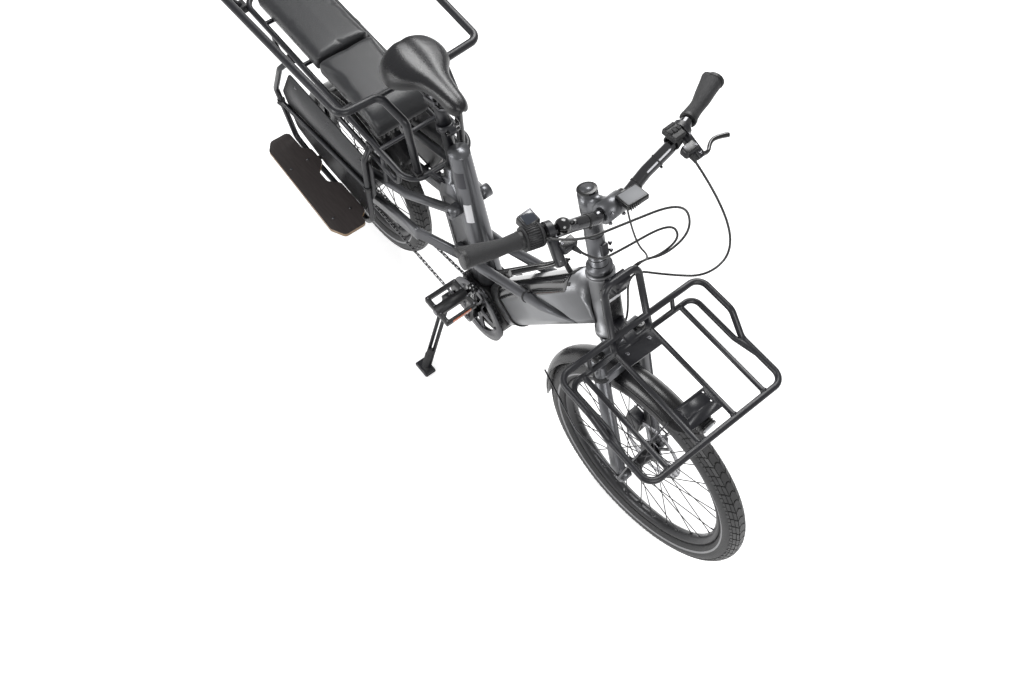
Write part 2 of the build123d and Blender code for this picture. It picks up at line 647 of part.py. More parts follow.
# ---- front rack ---------------------------------------------------------------------------------
def front_rack():
    """Frame-mounted carrier: looped rail, deck bars, hoop and the bracket on the head tube."""
    y, z = RACK_HALF_W - 5, RACK_Z
    wide, high = y + 8, z + 40
    rear, front = RACK_REAR_X, RACK_FRONT_X
    rail = closed_tube([(rear, -wide, high), (rear, wide, high), (1108, wide, high), (1160, y, z),
                        (front, y, z), (front, -y, z), (1160, -y, z), (1108, -wide, high)], 7.5, 28)
    deck = tube([(1212, -y, z), (1150, -y + 14, z), (rear + 16, -y + 14, z), (rear + 16, y - 14, z),
                 (1150, y - 14, z), (1212, y, z)], 6.5, 24)
    parts = [deck]
    for side_y in (-138, -50, 50, 138):
        parts.append(rod((rear + 16, side_y, z), (front, side_y, z), 6))
    for side_y in (-y * 0.62, y * 0.62):
        parts.append(rod((rear + 16, side_y, z), (rear, side_y, high), 5))
    parts.append(tube([(rear + 14, -50, z), (950, -46, 908), (950, 46, 908), (rear + 14, 50, z)], 8, 22))
    parts.append(block((rear + 38, 0, z), (44, 100, 6)))
    parts.append(block((PLATE_X + 8, 0, z), (56, 100, 5)))
    bracket = beam(on_steer(842, 24), (950, 0, 880), 34, 30, 6) + block((950, 0, 896), (26, 36, 26))
    low = beam(on_steer(756, 24), (rear + 24, 0, 744), 10, 30, 3)
    holes = [rod((PLATE_X + x, y_hole, z - 10), (PLATE_X + x, y_hole, z + 10), PLATE_HOLE_R)
             for x in (-12, 12) for y_hole in (-35, 35)]
    return rail.fuse(*parts, bracket, low) - head_tube() - holes


def headlight():
    body = rod((1226, 0, 720), (1262, 0, 720), 18)
    return body + block((1240, 0, 739), (12, 20, 7))


# ---- drive train --------------------------------------------------------------------------------
CRANK_DIR = Vector(math.sin(math.radians(CRANK_LEAN)), 0, math.cos(math.radians(CRANK_LEAN)))
CRANK = Vector(CRANK_X, 0, CRANK_Z)
PEDAL_AXLE_R = 6


def crank_arms():
    """Spindle and both arms, with the pedal axles' bosses."""
    spindle = rod(CRANK + Vector(0, -96, 0), CRANK + Vector(0, 96, 0), 9)
    parts = []
    for side in (-1, 1):
        end = CRANK - CRANK_DIR * CRANK_LENGTH * side
        inner = CRANK + Vector(0, side * 84, 0)
        outer = end + Vector(0, side * 94, 0)
        parts.append(beam(inner, outer, 14, 26, 6, lift=(0, 1, 0)))
        parts.append(rod(inner - Vector(0, side * 14, 0), inner + Vector(0, side * 12, 0), 18))
        parts.append(rod(outer - Vector(0, side * 8, 0), outer + Vector(0, side * 8, 0), 14))
        parts.append(rod(outer, end + Vector(0, side * (PEDAL_Y + 44), 0), PEDAL_AXLE_R))
    return spindle.fuse(*parts)


def chainring():
    """Toothed ring on a spider, with the outer guard ring."""
    c = tuple(CRANK)
    ring_part = toothed_ring(c, RING_R - 2, 70, 44)
    spider = Circle(24) - Circle(9)
    spider += [Rot(0, 0, 72 * i) * Pos(48, 0) * Rectangle(64, 18) for i in range(5)]
    arms = Pos(c[0], RING_Y - 1.5, c[2]) * Rot(90, 0, 0) * extrude(spider, 4)
    guard_face = Circle(RING_R + 8) - Circle(RING_R - 22)
    guard = Pos(c[0], RING_Y - 5.5, c[2]) * Rot(90, 0, 0) * extrude(guard_face, 3)
    return ring_part.fuse(arms, guard)


def pedal(side):
    """Platform pedal: open cage, bearing sleeve and end plates."""
    center = CRANK - CRANK_DIR * CRANK_LENGTH * side + Vector(0, side * PEDAL_Y, 0)
    cage = Box(92, 92, 16) - Pos(26, 0, 0) * Box(26, 72, 40) - Pos(-26, 0, 0) * Box(26, 72, 40)
    cage = fillet(cage.edges().filter_by(Axis.Z).group_by(SortBy.LENGTH)[0], 3)
    sleeve = Rot(90, 0, 0) * Cylinder(12, 92)
    body = Pos(*center) * (cage + sleeve)
    return body - rod(center + Vector(0, -60, 0), center + Vector(0, 60, 0), PEDAL_AXLE_R + 0.05)


def chain():
    """Closed chain as a band round the ring and sprocket, just clear of their teeth."""
    big, small = RING_R, SPROCKET_R + 2
    loop_out = belt(big + 5, small + 5)
    loop_in = belt(big, small - 0.5)
    return Pos(0, RING_Y + 3.5, 0) * Rot(90, 0, 0) * extrude(loop_out - loop_in, 7)


def belt(big_r, small_r):
    """Outline round both wheels, as the hull of two circles, in x and z."""
    gap = math.hypot(CRANK_X, CRANK_Z - REAR_R)
    tilt = math.atan2(CRANK_Z - REAR_R, CRANK_X)
    lean = math.acos((big_r - small_r) / gap)
    corners = []
    for sign in (1, -1):
        angle = tilt + sign * lean
        out = (math.cos(angle), math.sin(angle))
        corners.append(((CRANK_X + big_r * out[0], CRANK_Z + big_r * out[1]),
                        (small_r * out[0], REAR_R + small_r * out[1])))
    (big_up, small_up), (big_low, small_low) = corners
    front = (CRANK_X + big_r * math.cos(tilt), CRANK_Z + big_r * math.sin(tilt))
    back = (-small_r * math.cos(tilt), REAR_R - small_r * math.sin(tilt))
    return make_face([Line(small_up, big_up), ThreePointArc(big_up, front, big_low),
                      Line(big_low, small_low), ThreePointArc(small_low, back, small_up)])


def rear_caliper():
    body = block((52, 56.45, 318), (56, 30.9, 40), 6)
    slot = rod(REAR_AXLE + Vector(0, 42, 0), REAR_AXLE + Vector(0, 47.5, 0), 86)
    return body - slot


# ---- stand --------------------------------------------------------------------------------------
def stand():
    """Two-legged centre stand: pivot shaft, twin rods down each leg and broad plastic feet."""
    px, _, pz = STAND_PIVOT
    fx, fy = STAND_FOOT
    parts = []
    for side in (-1, 1):
        for shift in (-9, 9):
            parts.append(rod((px + shift, side * 62, pz), (fx + shift, side * (fy - 6), 14), 5.5))
        parts.append(block((fx, side * fy, 7), (52, 34, 14), 3))
        parts.append(rod((px, side * 42, pz), (px, side * 72, pz), 14))
    shaft = rod((px, -72, pz), (px, 72, pz), 8)
    return shaft.fuse(*parts)


def stand_bracket():
    """Plate under the motor that carries the stand's pivot shaft."""
    px, _, pz = STAND_PIVOT
    body = slab([(px - 22, pz + 8), (px - 16, pz - 16), (px + 16, pz - 16), (px + 40, pz + 20), (520, 262),
                 (520, 300), (484, 330), (470, 300)], -34, 34, 6)
    return body - rod((px, -60, pz), (px, 60, pz), 8.05) - drive_unit()


def lock_strap():
    """Strap above the down tube, from the seat tube's lobe to a peg on the tube below the head."""
    lift = 26
    start = DOWN_START + DOWN_DIR * 60 + DOWN_UP * (DOWN_TUBE_DEPTH / 2 + lift)
    end = start + DOWN_DIR * 440
    peg_top = end - DOWN_DIR * 12
    peg = rod(peg_top, peg_top - DOWN_UP * (lift - REST_GAP), 6)
    return beam(start, end, 7, 22, 3, lift=tuple(DOWN_UP)) + peg - seat_tube()


# ---- cables -------------------------------------------------------------------------------------
HOSE_R = 2.5


def front_hose():
    """Front brake hose: from the left lever round behind the rack's hoop and down the fork's left leg."""
    start = bar_at(LEVER_LEFT_Y) + Vector(50.6, -20, -16)
    route = [start, (1010, 168, 1084), (1070, 188, 960), (1060, 140, 898), (1000, 92, 880), (922, 58, 842),
             (962, 50, 716), on_fork(372, -28, 58), on_fork(250, -6, 72), on_fork(98, LEG_FWD - 42, 60)]
    return tube(route, HOSE_R, 16)


def control_cables():
    """Rear brake hose, shift cable and display lead, looped ahead of the bar and into the head tube."""
    inlet = on_steer(818, 22, 25)
    behind = Vector(936, 60, 884)
    gather = Vector(976, 76, 940)
    hose = tube([bar_at(-LEVER_RIGHT_Y) + Vector(51.2, 20, -16), (962, -118, 1090), (956, -50, 1050),
                 (962, 96, 1020), (984, 118, 975), gather, behind, inlet], HOSE_R, 14)
    shift = tube([bar_at(-184) + Vector(21.2, 0, 11.9), (934, -140, 1144), (946, -60, 1128),
                  (968, 110, 1086), (996, 132, 1000), gather + Vector(8, 3, 4), behind + Vector(-2, 6, 2),
                  inlet + Vector(2, 2, -8)], HOSE_R, 16)
    lead = tube([(BAR_X + 20, 16, BAR_Z + 20.7), (944, 16, 1010), (972, 54, 945),
                 behind + Vector(-4, -2, -6), inlet + Vector(-2, -2, 12)], 2, 12)
    return [hose, shift, lead]


def motion_groups():
    """Every node, gathered by the body that carries it."""
    frame = {
        "head_tube": head_tube(), "down_tube": down_tube(), "battery_cover": battery_cover(),
        "seat_tube": seat_tube(), "drive_unit": drive_unit(), "mixte_stays": mixte_stays(),
        "chainstays": chainstays(), "rear_axle": rear_axle(), "rack_stays": rack_stays(),
        "rear_rack": rear_rack(), **seat_pads(), "safety_rail": safety_rail(),
        "side_rails": side_rails(), "wheel_guards": wheel_guards(), "footboards": footboards(),
        "rear_fender": rear_fender(), "rear_light": rear_light(), "seat_post": seat_post(),
        "post_clamp": post_clamp(), "saddle_rails": saddle_rails(), "saddle": saddle(),
        "front_rack": front_rack(), "headlight": headlight(), "chain": chain(),
        "rear_caliper": rear_caliper(), "stand_bracket": stand_bracket(), "lock_strap": lock_strap(),
    }
    steering = {
        "fork": fork(), "front_axle": front_axle(), "stem": stem(), "handlebar": handlebar(),
        "grips": grips(), "shifter": shifter(), "brake_levers": brake_levers(), "bell": bell(),
        "remote": remote(), "display": display(), "front_fender": front_fender(),
        "fender_stays": fender_stays(), "front_caliper": front_caliper(), "front_hose": front_hose(),
        "control_cables": control_cables(),
    }
    return {
        "frame": frame,
        "steering": {name: turned(piece) for name, piece in steering.items()},
        "front_wheel": front_wheel(),
        "rear_wheel": rear_wheel(),
        "crank": {"crank_arms": crank_arms(), "chainring": chainring()},
        "pedal_left": {"pedal_left": pedal(1)},
        "pedal_right": {"pedal_right": pedal(-1)},
        "stand": {"stand": stand()},
    }


def turned(piece):
    return [steered(one) for one in piece] if isinstance(piece, list) else steered(piece)


def main():
    os.makedirs("parts", exist_ok=True)
    for nodes in motion_groups().values():
        for name, piece in nodes.items():
            solids = piece if isinstance(piece, list) else [piece]
            moved = [solid.moved(Location((-MID_LENGTH, 0, 0))) for solid in solids]
            export_step(moved[0] if len(moved) == 1 else Compound(children=moved), f"parts/{name}.step")


if __name__ == "__main__":
    main()
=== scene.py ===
"""Looks for the longtail cargo bike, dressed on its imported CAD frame.

Lengths in this script are millimetres measured from the rear axle, as in the part's source;
P() turns them into metres in the shared frame.
"""
import bmesh
import bpy
import json
from math import acos, asin, atan2, copysign, cos, exp, hypot, pi, radians, sin, sqrt, tan
from mathutils import Matrix, Vector
from mathutils.bvhtree import BVHTree


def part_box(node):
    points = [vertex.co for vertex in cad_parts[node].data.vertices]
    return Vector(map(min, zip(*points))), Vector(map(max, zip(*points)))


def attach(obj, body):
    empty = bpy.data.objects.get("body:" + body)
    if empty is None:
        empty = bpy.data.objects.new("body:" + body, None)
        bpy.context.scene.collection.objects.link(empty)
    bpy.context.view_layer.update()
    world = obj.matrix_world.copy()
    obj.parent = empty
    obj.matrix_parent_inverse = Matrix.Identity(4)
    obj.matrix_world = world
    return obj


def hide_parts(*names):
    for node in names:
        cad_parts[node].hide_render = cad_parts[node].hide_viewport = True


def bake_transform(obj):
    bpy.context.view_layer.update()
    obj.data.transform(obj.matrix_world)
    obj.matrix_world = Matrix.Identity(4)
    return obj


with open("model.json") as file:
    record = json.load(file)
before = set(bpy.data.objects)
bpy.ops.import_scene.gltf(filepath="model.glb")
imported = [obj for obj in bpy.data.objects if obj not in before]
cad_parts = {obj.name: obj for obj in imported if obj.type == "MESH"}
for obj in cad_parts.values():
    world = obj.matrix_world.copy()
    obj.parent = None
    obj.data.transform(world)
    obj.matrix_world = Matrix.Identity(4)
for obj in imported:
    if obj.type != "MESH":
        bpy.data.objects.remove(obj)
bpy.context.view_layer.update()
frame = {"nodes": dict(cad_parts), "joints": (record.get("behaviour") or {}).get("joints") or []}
NODES = frame["nodes"]
JOINT = {j["name"]: j for j in frame["joints"]}


# ---- places ----
def middle(node):
    low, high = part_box(node)
    return (low + high) / 2


FORWARD, LEFT, UP = Vector((1, 0, 0)), Vector((0, 1, 0)), Vector((0, 0, 1))
SIDES = (-1, 1)             # right, then left
REAR = middle("rear_tyre")
FRONT = Vector(JOINT["front_wheel_spin"]["pos_m"])
CRANK = Vector(JOINT["crank_spin"]["pos_m"])
STEER_POS = Vector(JOINT["steer"]["pos_m"])
STEER_DIR = Vector(JOINT["steer"]["axis"]).normalized()
STEER_FWD = Vector((STEER_DIR.z, 0, -STEER_DIR.x))
STEER_REST = radians(3.6)
TURN = (Matrix.Translation(STEER_POS) @ Matrix.Rotation(STEER_REST, 4, STEER_DIR)
        @ Matrix.Translation(-STEER_POS))
REAR_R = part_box("rear_tyre")[1].z * 500
FRONT_R = 313.5
SEAT = radians(73.5)
SEAT_DIR = Vector((-cos(SEAT), 0, sin(SEAT)))
SEAT_FWD = Vector((sin(SEAT), 0, cos(SEAT)))
DOWN = radians(56)
DOWN_DIR = Vector((cos(DOWN), 0, sin(DOWN)))
DOWN_UP = Vector((-sin(DOWN), 0, cos(DOWN)))
TUBE_TOP, TUBE_HALF, TUBE_CORNER = 62, 41, 36   # half the down tube's depth and width, and its corners


def P(x, y, z):
    return Vector((REAR.x + x / 1000, y / 1000, z / 1000))


def mm(x, y, z):
    return Vector((x, y, z)) / 1000


def S(p):
    """A point of the steering body drawn straight ahead, turned as the bars stand."""
    return TURN @ p


def on_fork(along, forward=0, side=0):
    """Point beside the steering axis, this far along it from the joint."""
    return STEER_POS + STEER_DIR * (along / 1000) + STEER_FWD * (forward / 1000) + LEFT * (side / 1000)


def on_steer(height, forward=0, side=0):
    """Point beside the steering axis at a height above the floor."""
    return on_fork((height - STEER_POS.z * 1000) / STEER_DIR.z, forward, side)


def on_seat(along, forward=0, side=0):
    return P(394, side, 701) + SEAT_DIR * (along / 1000) + SEAT_FWD * (forward / 1000)


def on_down(along, lift=0, side=0):
    return P(594, side, 318) + DOWN_DIR * (along / 1000) + DOWN_UP * (lift / 1000)


def turns(count, shift=0.0):
    """Angles of count even steps round a circle."""
    return [2 * pi * (i + shift) / count for i in range(count)]


# ---- materials ----
SLOTS = {}                  # the CAD slot that each material stands for


def add_node(tree, kind, inputs=(), **settings):
    """New shader node; each of its inputs is given as a value or as a socket to link."""
    made = tree.nodes.new("ShaderNode" + kind)
    for key, value in settings.items():
        setattr(made, key, value)
    for key, value in dict(inputs).items():
        if isinstance(value, bpy.types.NodeSocket):
            tree.links.new(value, made.inputs[key])
        else:
            made.inputs[key].default_value = value
    return made


def maths(tree, operation, *terms):
    return add_node(tree, "Math", enumerate(terms), operation=operation).outputs[0]


def ramp(tree, factor, colors, ends=(0.0, 1.0)):
    """Blend between two colours, from one end of the factor to the other."""
    made = add_node(tree, "ValToRGB", {"Fac": factor})
    for element, color, end in zip(made.color_ramp.elements, colors, ends):
        element.color, element.position = (*color, 1), end
    return made.outputs["Color"]


def material(name, color, rough, grain=None, slot=None, metal=0, vary=0.1, rough_vary=0, coat=0,
             dents=None, sheen=0):
    """Principled material; grain and dents are bumps of (scale, strength), and grain may add "leather"."""
    m = bpy.data.materials.new(name)
    m.use_nodes = True
    SLOTS[m.name] = slot
    tree = m.node_tree
    skin = tree.nodes["Principled BSDF"].inputs
    for key, value in {"Metallic": metal, "Roughness": rough, "Coat Weight": coat, "Coat Roughness": 0.12,
                       "Sheen Weight": sheen, "Base Color": (*color, 1)}.items():
        skin[key].default_value = value
    place = add_node(tree, "TexCoord").outputs["Object"]
    cloud = add_node(tree, "TexNoise", {"Scale": 14, "Detail": 6, "Vector": place}).outputs["Fac"]
    if vary:
        tones = [[c * (1 - vary) for c in color], [c * (1 + vary) for c in color]]
        tree.links.new(ramp(tree, cloud, tones, (0.3, 0.7)), skin["Base Color"])
    if rough_vary:
        span = add_node(tree, "MapRange", {"Value": cloud, "To Min": max(0.02, rough - rough_vary),
                                           "To Max": min(1, rough + rough_vary)})
        tree.links.new(span.outputs["Result"], skin["Roughness"])
    normal = None
    for spec, reach in ((grain, 0.0006), (dents, 0.004)):
        if not spec:
            continue
        scale, strength, *kind = spec
        if kind == ["leather"]:
            height = add_node(tree, "TexVoronoi", {"Scale": scale, "Vector": place},
                              feature="SMOOTH_F1").outputs["Distance"]
        else:
            height = add_node(tree, "TexNoise", {"Scale": scale, "Detail": 3,
                                                 "Vector": place}).outputs["Fac"]
        bump = {"Strength": strength, "Distance": reach, "Height": height}
        if normal:
            bump["Normal"] = normal
        normal = add_node(tree, "Bump", bump).outputs["Normal"]
    if normal:
        tree.links.new(normal, skin["Normal"])
    return m


PAINT = material("satin_frame_paint", (0.12, 0.122, 0.13), 0.36, (2600, 0.1), metal=0.75, vary=0.05,
                 rough_vary=0.03, coat=0.1)
# Lighter copy of the frame paint for the head and down tubes: a painted highlight for the light that these
# tubes catch.
PAINT_WITH_HIGHLIGHT = material("satin_frame_paint_painted_highlight", (0.25, 0.253, 0.262), 0.4, (2600, 0.1), metal=0.7,
                      vary=0.05, rough_vary=0.03)
POWDER = material("black_powder_coat", (0.011, 0.0113, 0.0145), 0.36, (1500, 0.3), "black_metal", vary=0.12,
                  rough_vary=0.05)
GLOSS = material("gloss_black", (0.006, 0.006, 0.007), 0.14, (900, 0.04), "gloss_black", coat=0.5)
BAR = material("polished_black_bar", (0.11, 0.11, 0.115), 0.16, (700, 0.03), metal=1)
PLASTIC = material("moulded_plastic", (0.009, 0.009, 0.01), 0.44, (2200, 0.5), "plastic_black", vary=0.15,
                   rough_vary=0.05)
SMOOTH_PLASTIC = material("smooth_plastic", (0.009, 0.009, 0.01), 0.27, (1600, 0.08), "plastic_black")
GUARD = material("guard_plastic", (0.028, 0.0285, 0.031), 0.42, (1800, 0.5), rough_vary=0.05)
RUBBER = material("tyre_rubber", (0.032, 0.032, 0.033), 0.55, (1400, 0.6), "tyre", vary=0.18,
                  rough_vary=0.08)
# Near-black rubber for the casing between the tread blocks: painted shade in the grooves.
GROOVE_SHADE = material("tyre_grooves_painted_shade", (0.008, 0.008, 0.008), 0.7, (1400, 0.6), vary=0.18)
TREAD = material("tread_rubber", (0.048, 0.048, 0.049), 0.45, (900, 0.6), "tyre", vary=0.22,
                 rough_vary=0.08)
GRIP = material("grip_rubber", (0.014, 0.014, 0.0155), 0.55, (1900, 0.9, "leather"), "rubber", vary=0.12)
STRIPE = material("reflective_stripe", (0.3, 0.3, 0.31), 0.35, (2400, 0.3), "tyre")
LEATHER = material("pad_leatherette", (0.026, 0.0267, 0.029), 0.33, (950, 0.5, "leather"), "leatherette",
                   rough_vary=0.05, dents=(26, 0.05), sheen=0.05)
SADDLE = material("saddle_cover", (0.009, 0.009, 0.0105), 0.27, (1300, 0.35, "leather"), "saddle_cover",
                  vary=0.12, rough_vary=0.05)
SADDLE_SIDE = material("saddle_side", (0.006, 0.006, 0.007), 0.34, (1300, 0.45, "leather"), vary=0.12)
STEEL = material("brushed_steel", (0.5, 0.5, 0.52), 0.3, (1200, 0.3), "steel", metal=1, vary=0.06,
                 rough_vary=0.06)
DARK_STEEL = material("dark_steel", (0.09, 0.09, 0.095), 0.33, (1200, 0.3), "dark_steel", metal=1,
                      vary=0.15, rough_vary=0.08)
BOLT = material("bolt_steel", (0.16, 0.16, 0.17), 0.3, (1500, 0.2), "dark_steel", metal=1)
RIM = material("anodised_rim", (0.03, 0.03, 0.032), 0.32, (1800, 0.15), metal=0.4, rough_vary=0.04)
SCREEN = material("display_glass", (0.16, 0.165, 0.175), 0.5, (2600, 0.1), vary=0.04)
WINDOW = material("gear_window", (0.03, 0.038, 0.055), 0.07, vary=0.25, coat=1)
STICKER = material("blank_sticker", (0.72, 0.72, 0.74), 0.4, (900, 0.1), vary=0.03)
LABEL = material("dark_label", (0.02, 0.02, 0.028), 0.3, (900, 0.1))
AMBER = material("amber_reflector", (0.55, 0.11, 0.02), 0.18, (700, 0.8, "leather"), "plastic_black",
                 coat=0.7)
RED = material("red_lens", (0.3, 0.008, 0.01), 0.16, (600, 0.8, "leather"), "lamp_red", coat=0.8)
LENS = material("clear_lens", (0.22, 0.23, 0.25), 0.06, (500, 0.5, "leather"), metal=0.5, coat=1)
SEAM = material("dark_seam", (0.004, 0.004, 0.004), 0.7, slot="plastic_black")
CABLE = material("cable_jacket", (0.016, 0.016, 0.017), 0.34, (1600, 0.2), "rubber")


def plywood():
    """Dark film-faced plywood: a faint grain on the faces, pale layers on the cut edges."""
    m = material("faced_plywood", (0.05, 0.036, 0.031), 0.42, (800, 0.3), "plywood", vary=0,
                 rough_vary=0.06)
    tree = m.node_tree
    place = add_node(tree, "TexCoord").outputs["Object"]
    stretch = add_node(tree, "Mapping", {"Scale": (6, 60, 60), "Vector": place}).outputs["Vector"]
    fibre = add_node(tree, "TexNoise", {"Scale": 3.5, "Detail": 8, "Vector": stretch}).outputs["Fac"]
    face = ramp(tree, fibre, ((0.041, 0.034, 0.033), (0.056, 0.047, 0.046)), (0.35, 0.7))
    height = add_node(tree, "SeparateXYZ", {"Vector": place}).outputs["Z"]
    layers = maths(tree, "SINE", maths(tree, "MULTIPLY", height, 2100))
    edge = ramp(tree, layers, ((0.2, 0.12, 0.06), (0.42, 0.29, 0.17)))
    normal = add_node(tree, "NewGeometry").outputs["True Normal"]
    upward = add_node(tree, "SeparateXYZ", {"Vector": normal}).outputs["Z"]
    flat = maths(tree, "GREATER_THAN", maths(tree, "ABSOLUTE", upward), 0.45)
    mix = add_node(tree, "Mix", {"Factor": flat, "A": edge, "B": face}, data_type="RGBA")
    tree.links.new(mix.outputs["Result"], tree.nodes["Principled BSDF"].inputs["Base Color"])
    return m


PLY = plywood()


# ---- mesh helpers ----
def add_object(name, data):
    ob = bpy.data.objects.new(name, data)
    bpy.context.scene.collection.objects.link(ob)
    return ob


def add_mesh(name, verts, faces, *mats):
    """New object from points and faces, shaded smooth."""
    mesh = bpy.data.meshes.new(name)
    mesh.from_pydata([tuple(v) for v in verts], [], [tuple(f) for f in faces])
    for m in mats:
        mesh.materials.append(m)
    smooth_shade(mesh)
    return add_object(name, mesh)


def smooth_shade(mesh):
    mesh.polygons.foreach_set("use_smooth", [True] * len(mesh.polygons))


def ellipse(center, u, v, ru, rv, sides):
    """Points round a centre, with half axes of ru and rv mm along u and v."""
    return [center + u * (ru / 1000 * cos(a)) + v * (rv / 1000 * sin(a)) for a in turns(sides)]


class Build:
    """Collects several closed shapes that become one piece."""

    def __init__(self):
        self.verts, self.faces = [], []

    def add(self, verts, faces):
        base = len(self.verts)
        self.verts += [Vector(v) for v in verts]
        self.faces += [[base + i for i in f] for f in faces]
        return self

    def rings(self, rings, closed=False):
        """Skin over rings of equal length, closed into a loop or capped at both ends."""
        n, count = len(rings[0]), len(rings)
        faces = []
        for i in range(count if closed else count - 1):
            a, b = i * n, ((i + 1) % count) * n
            faces += [(a + k, a + (k + 1) % n, b + (k + 1) % n, b + k) for k in range(n)]
        if not closed:
            faces += [tuple(range(n - 1, -1, -1)), tuple(range((count - 1) * n, count * n))]
        return self.add([v for r in rings for v in r], faces)

    def tube(self, points, radius, sides=14, bend=0):
        """Tube; radius is a number, or a function that turns the share of its length into two half axes."""
        line = rounded(points, bend) if bend else [Vector(p) for p in points]
        rings = []
        for i, (p, u, v) in enumerate(carry(line)):
            ru, rv = radius(i / (len(line) - 1)) if callable(radius) else (radius, radius)
            rings.append(ellipse(p, u, v, ru, rv, sides))
        return self.rings(rings)

    def lathe(self, start, direction, profile, sides=32):
        """Turned shape: profile of (distance along, radius) from start."""
        d = Vector(direction).normalized()
        u = d.orthogonal().normalized()
        v = d.cross(u)
        start = Vector(start)
        return self.rings([ellipse(start + d * (along / 1000), u, v, max(r, 0.01), max(r, 0.01), sides)
                           for along, r in profile])

    def band(self, start, direction, width, inner, outer, edge, sides=32):
        """Ring of a width whose edges slope from the inner to the outer radius."""
        profile = [(0, inner), (edge, outer), (width - edge, outer), (width, inner)]
        return self.lathe(start, direction, profile, sides)

    def block(self, center, size, round_by=0, along=FORWARD, up=UP, segs=3):
        """Box with rounded edges, its length along one direction."""
        x = Vector(along).normalized()
        z = (Vector(up) - x * Vector(up).dot(x)).normalized()
        y = z.cross(x)
        bm = bmesh.new()
        bmesh.ops.create_cube(bm, size=1)
        for v in bm.verts:
            v.co = Vector((v.co.x * size[0], v.co.y * size[1], v.co.z * size[2]))
        if round_by:
            bmesh.ops.bevel(bm, geom=bm.edges[:], offset=round_by, segments=segs, profile=0.5,
                            affect="EDGES", clamp_overlap=True)
        c = Vector(center)
        bm.verts.ensure_lookup_table()
        verts = [c + (x * v.co.x + y * v.co.y + z * v.co.z) / 1000 for v in bm.verts]
        faces = [[v.index for v in f.verts] for f in bm.faces]
        bm.free()
        return self.add(verts, faces)

    def prism(self, outline, low, high):
        """Flat plate between two heights, from an outline of (x, y) points."""
        n = len(outline)
        verts = [P(x, y, z) for z in (low, high) for x, y in outline]
        faces = [tuple(range(n - 1, -1, -1)), tuple(range(n, 2 * n))]
        faces += [(i, (i + 1) % n, n + (i + 1) % n, n + i) for i in range(n)]
        return self.add(verts, faces)

    def bolt(self, at, direction, r=4, height=3):
        """Cap screw with a hex socket and a washer."""
        washer, top = r * 1.35, height + 0.5
        profile = [(0, 0.1), (0, washer), (0.8, washer), (0.8, r), (height, r), (top, r - 0.6),
                   (top, r * 0.52), (height - 1.2, r * 0.5), (height - 1.2, 0.1)]
        return self.lathe(at, direction, profile, 18)

    def done(self, name, mat, body="frame", turned=True, slot=None, angle=35, bevel=0, subdiv=0,
             replaces=()):
        """Piece that rides on a body, shaded smooth except at edges sharper than angle.

        What rides on the steering body is drawn straight ahead and turned here.
        """
        mats = mat if isinstance(mat, list) else [mat]
        verts = [S(v) for v in self.verts] if body == "steering" and turned else self.verts
        ob = add_mesh(name, verts, self.faces, *mats)
        bm = bmesh.new()
        bm.from_mesh(ob.data)
        bmesh.ops.remove_doubles(bm, verts=bm.verts, dist=1e-6)
        bmesh.ops.recalc_face_normals(bm, faces=bm.faces)
        bm.to_mesh(ob.data)
        bm.free()
        if bevel:
            mod = ob.modifiers.new("bevel", "BEVEL")
            mod.width, mod.segments, mod.limit_method = bevel / 1000, 3, "ANGLE"
            mod.angle_limit = radians(30)
        if subdiv:
            mod = ob.modifiers.new("subdiv", "SUBSURF")
            mod.levels = mod.render_levels = subdiv
        else:
            ob.data.set_sharp_from_angle(angle=radians(angle))
        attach(ob, body)
        slot = slot or SLOTS[mats[0].name]
        if replaces:
            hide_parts(*replaces)
        return ob


ARC_STEPS = 7


def rounded(points, bend, closed=False):
    """The line through points with each corner turned into an arc of about that radius in mm."""
    pts = [Vector(p) for p in points]
    n = len(pts)
    out = [] if closed else [pts[0]]
    for i in range(0 if closed else 1, n if closed else n - 1):
        a, b, c = pts[i - 1], pts[i], pts[(i + 1) % n]
        u, v = (a - b), (c - b)
        lu, lv = u.length, v.length
        u, v = u / lu, v / lv
        angle = acos(max(-1, min(1, u.dot(v))))
        if angle > pi - 0.03:
            out.append(b)
            continue
        cut = min(bend / 1000 / tan(angle / 2), lu * 0.49, lv * 0.49)
        r = cut * tan(angle / 2)
        centre = b + (u + v).normalized() * (r / sin(angle / 2))
        s, e = b + u * cut - centre, b + v * cut - centre
        sweep = pi - angle
        for k in range(ARC_STEPS + 1):
            t = k / ARC_STEPS
            out.append(centre + (s * sin((1 - t) * sweep) + e * sin(t * sweep)) / sin(sweep))
    return out if closed else out + [pts[-1]]


def carry(line):
    """Point and two cross directions at each point of a line, with no twist."""
    out = []
    last_u = None
    for i, p in enumerate(line):
        d = (line[min(i + 1, len(line) - 1)] - line[max(i - 1, 0)]).normalized()
        if last_u is None:
            u = UP - d * d.z
            u = u.normalized() if u.length > 0.1 else d.orthogonal().normalized()
        else:
            u = (last_u - d * last_u.dot(d)).normalized()
        last_u = u
        out.append((p, u, d.cross(u)))
    return out


def smooth_line(points, count):
    """Points along the smooth NURBS line that has these as its control points."""
    data = bpy.data.curves.new("line", "CURVE")
    data.dimensions = "3D"
    sp = data.splines.new("NURBS")
    sp.points.add(len(points) - 1)
    for q, p in zip(sp.points, points):
        q.co = (*p, 1)
    sp.order_u = 3
    sp.use_endpoint_u = True
    sp.resolution_u = max(4, count // len(points))
    ob = bpy.data.objects.new("line", data)
    mesh = bpy.data.meshes.new_from_object(ob)
    out = [v.co.copy() for v in mesh.vertices]
    bpy.data.objects.remove(ob)
    bpy.data.curves.remove(data)
    bpy.data.meshes.remove(mesh)
    return out


def paint(node, mat):
    """Gives a CAD node its finished material and smooth shading."""
    o = NODES[node]
    o.data.materials.clear()
    o.data.materials.append(mat)
    smooth_shade(o.data)
    o.modifiers.new("weld", "WELD").merge_threshold = 0.00002


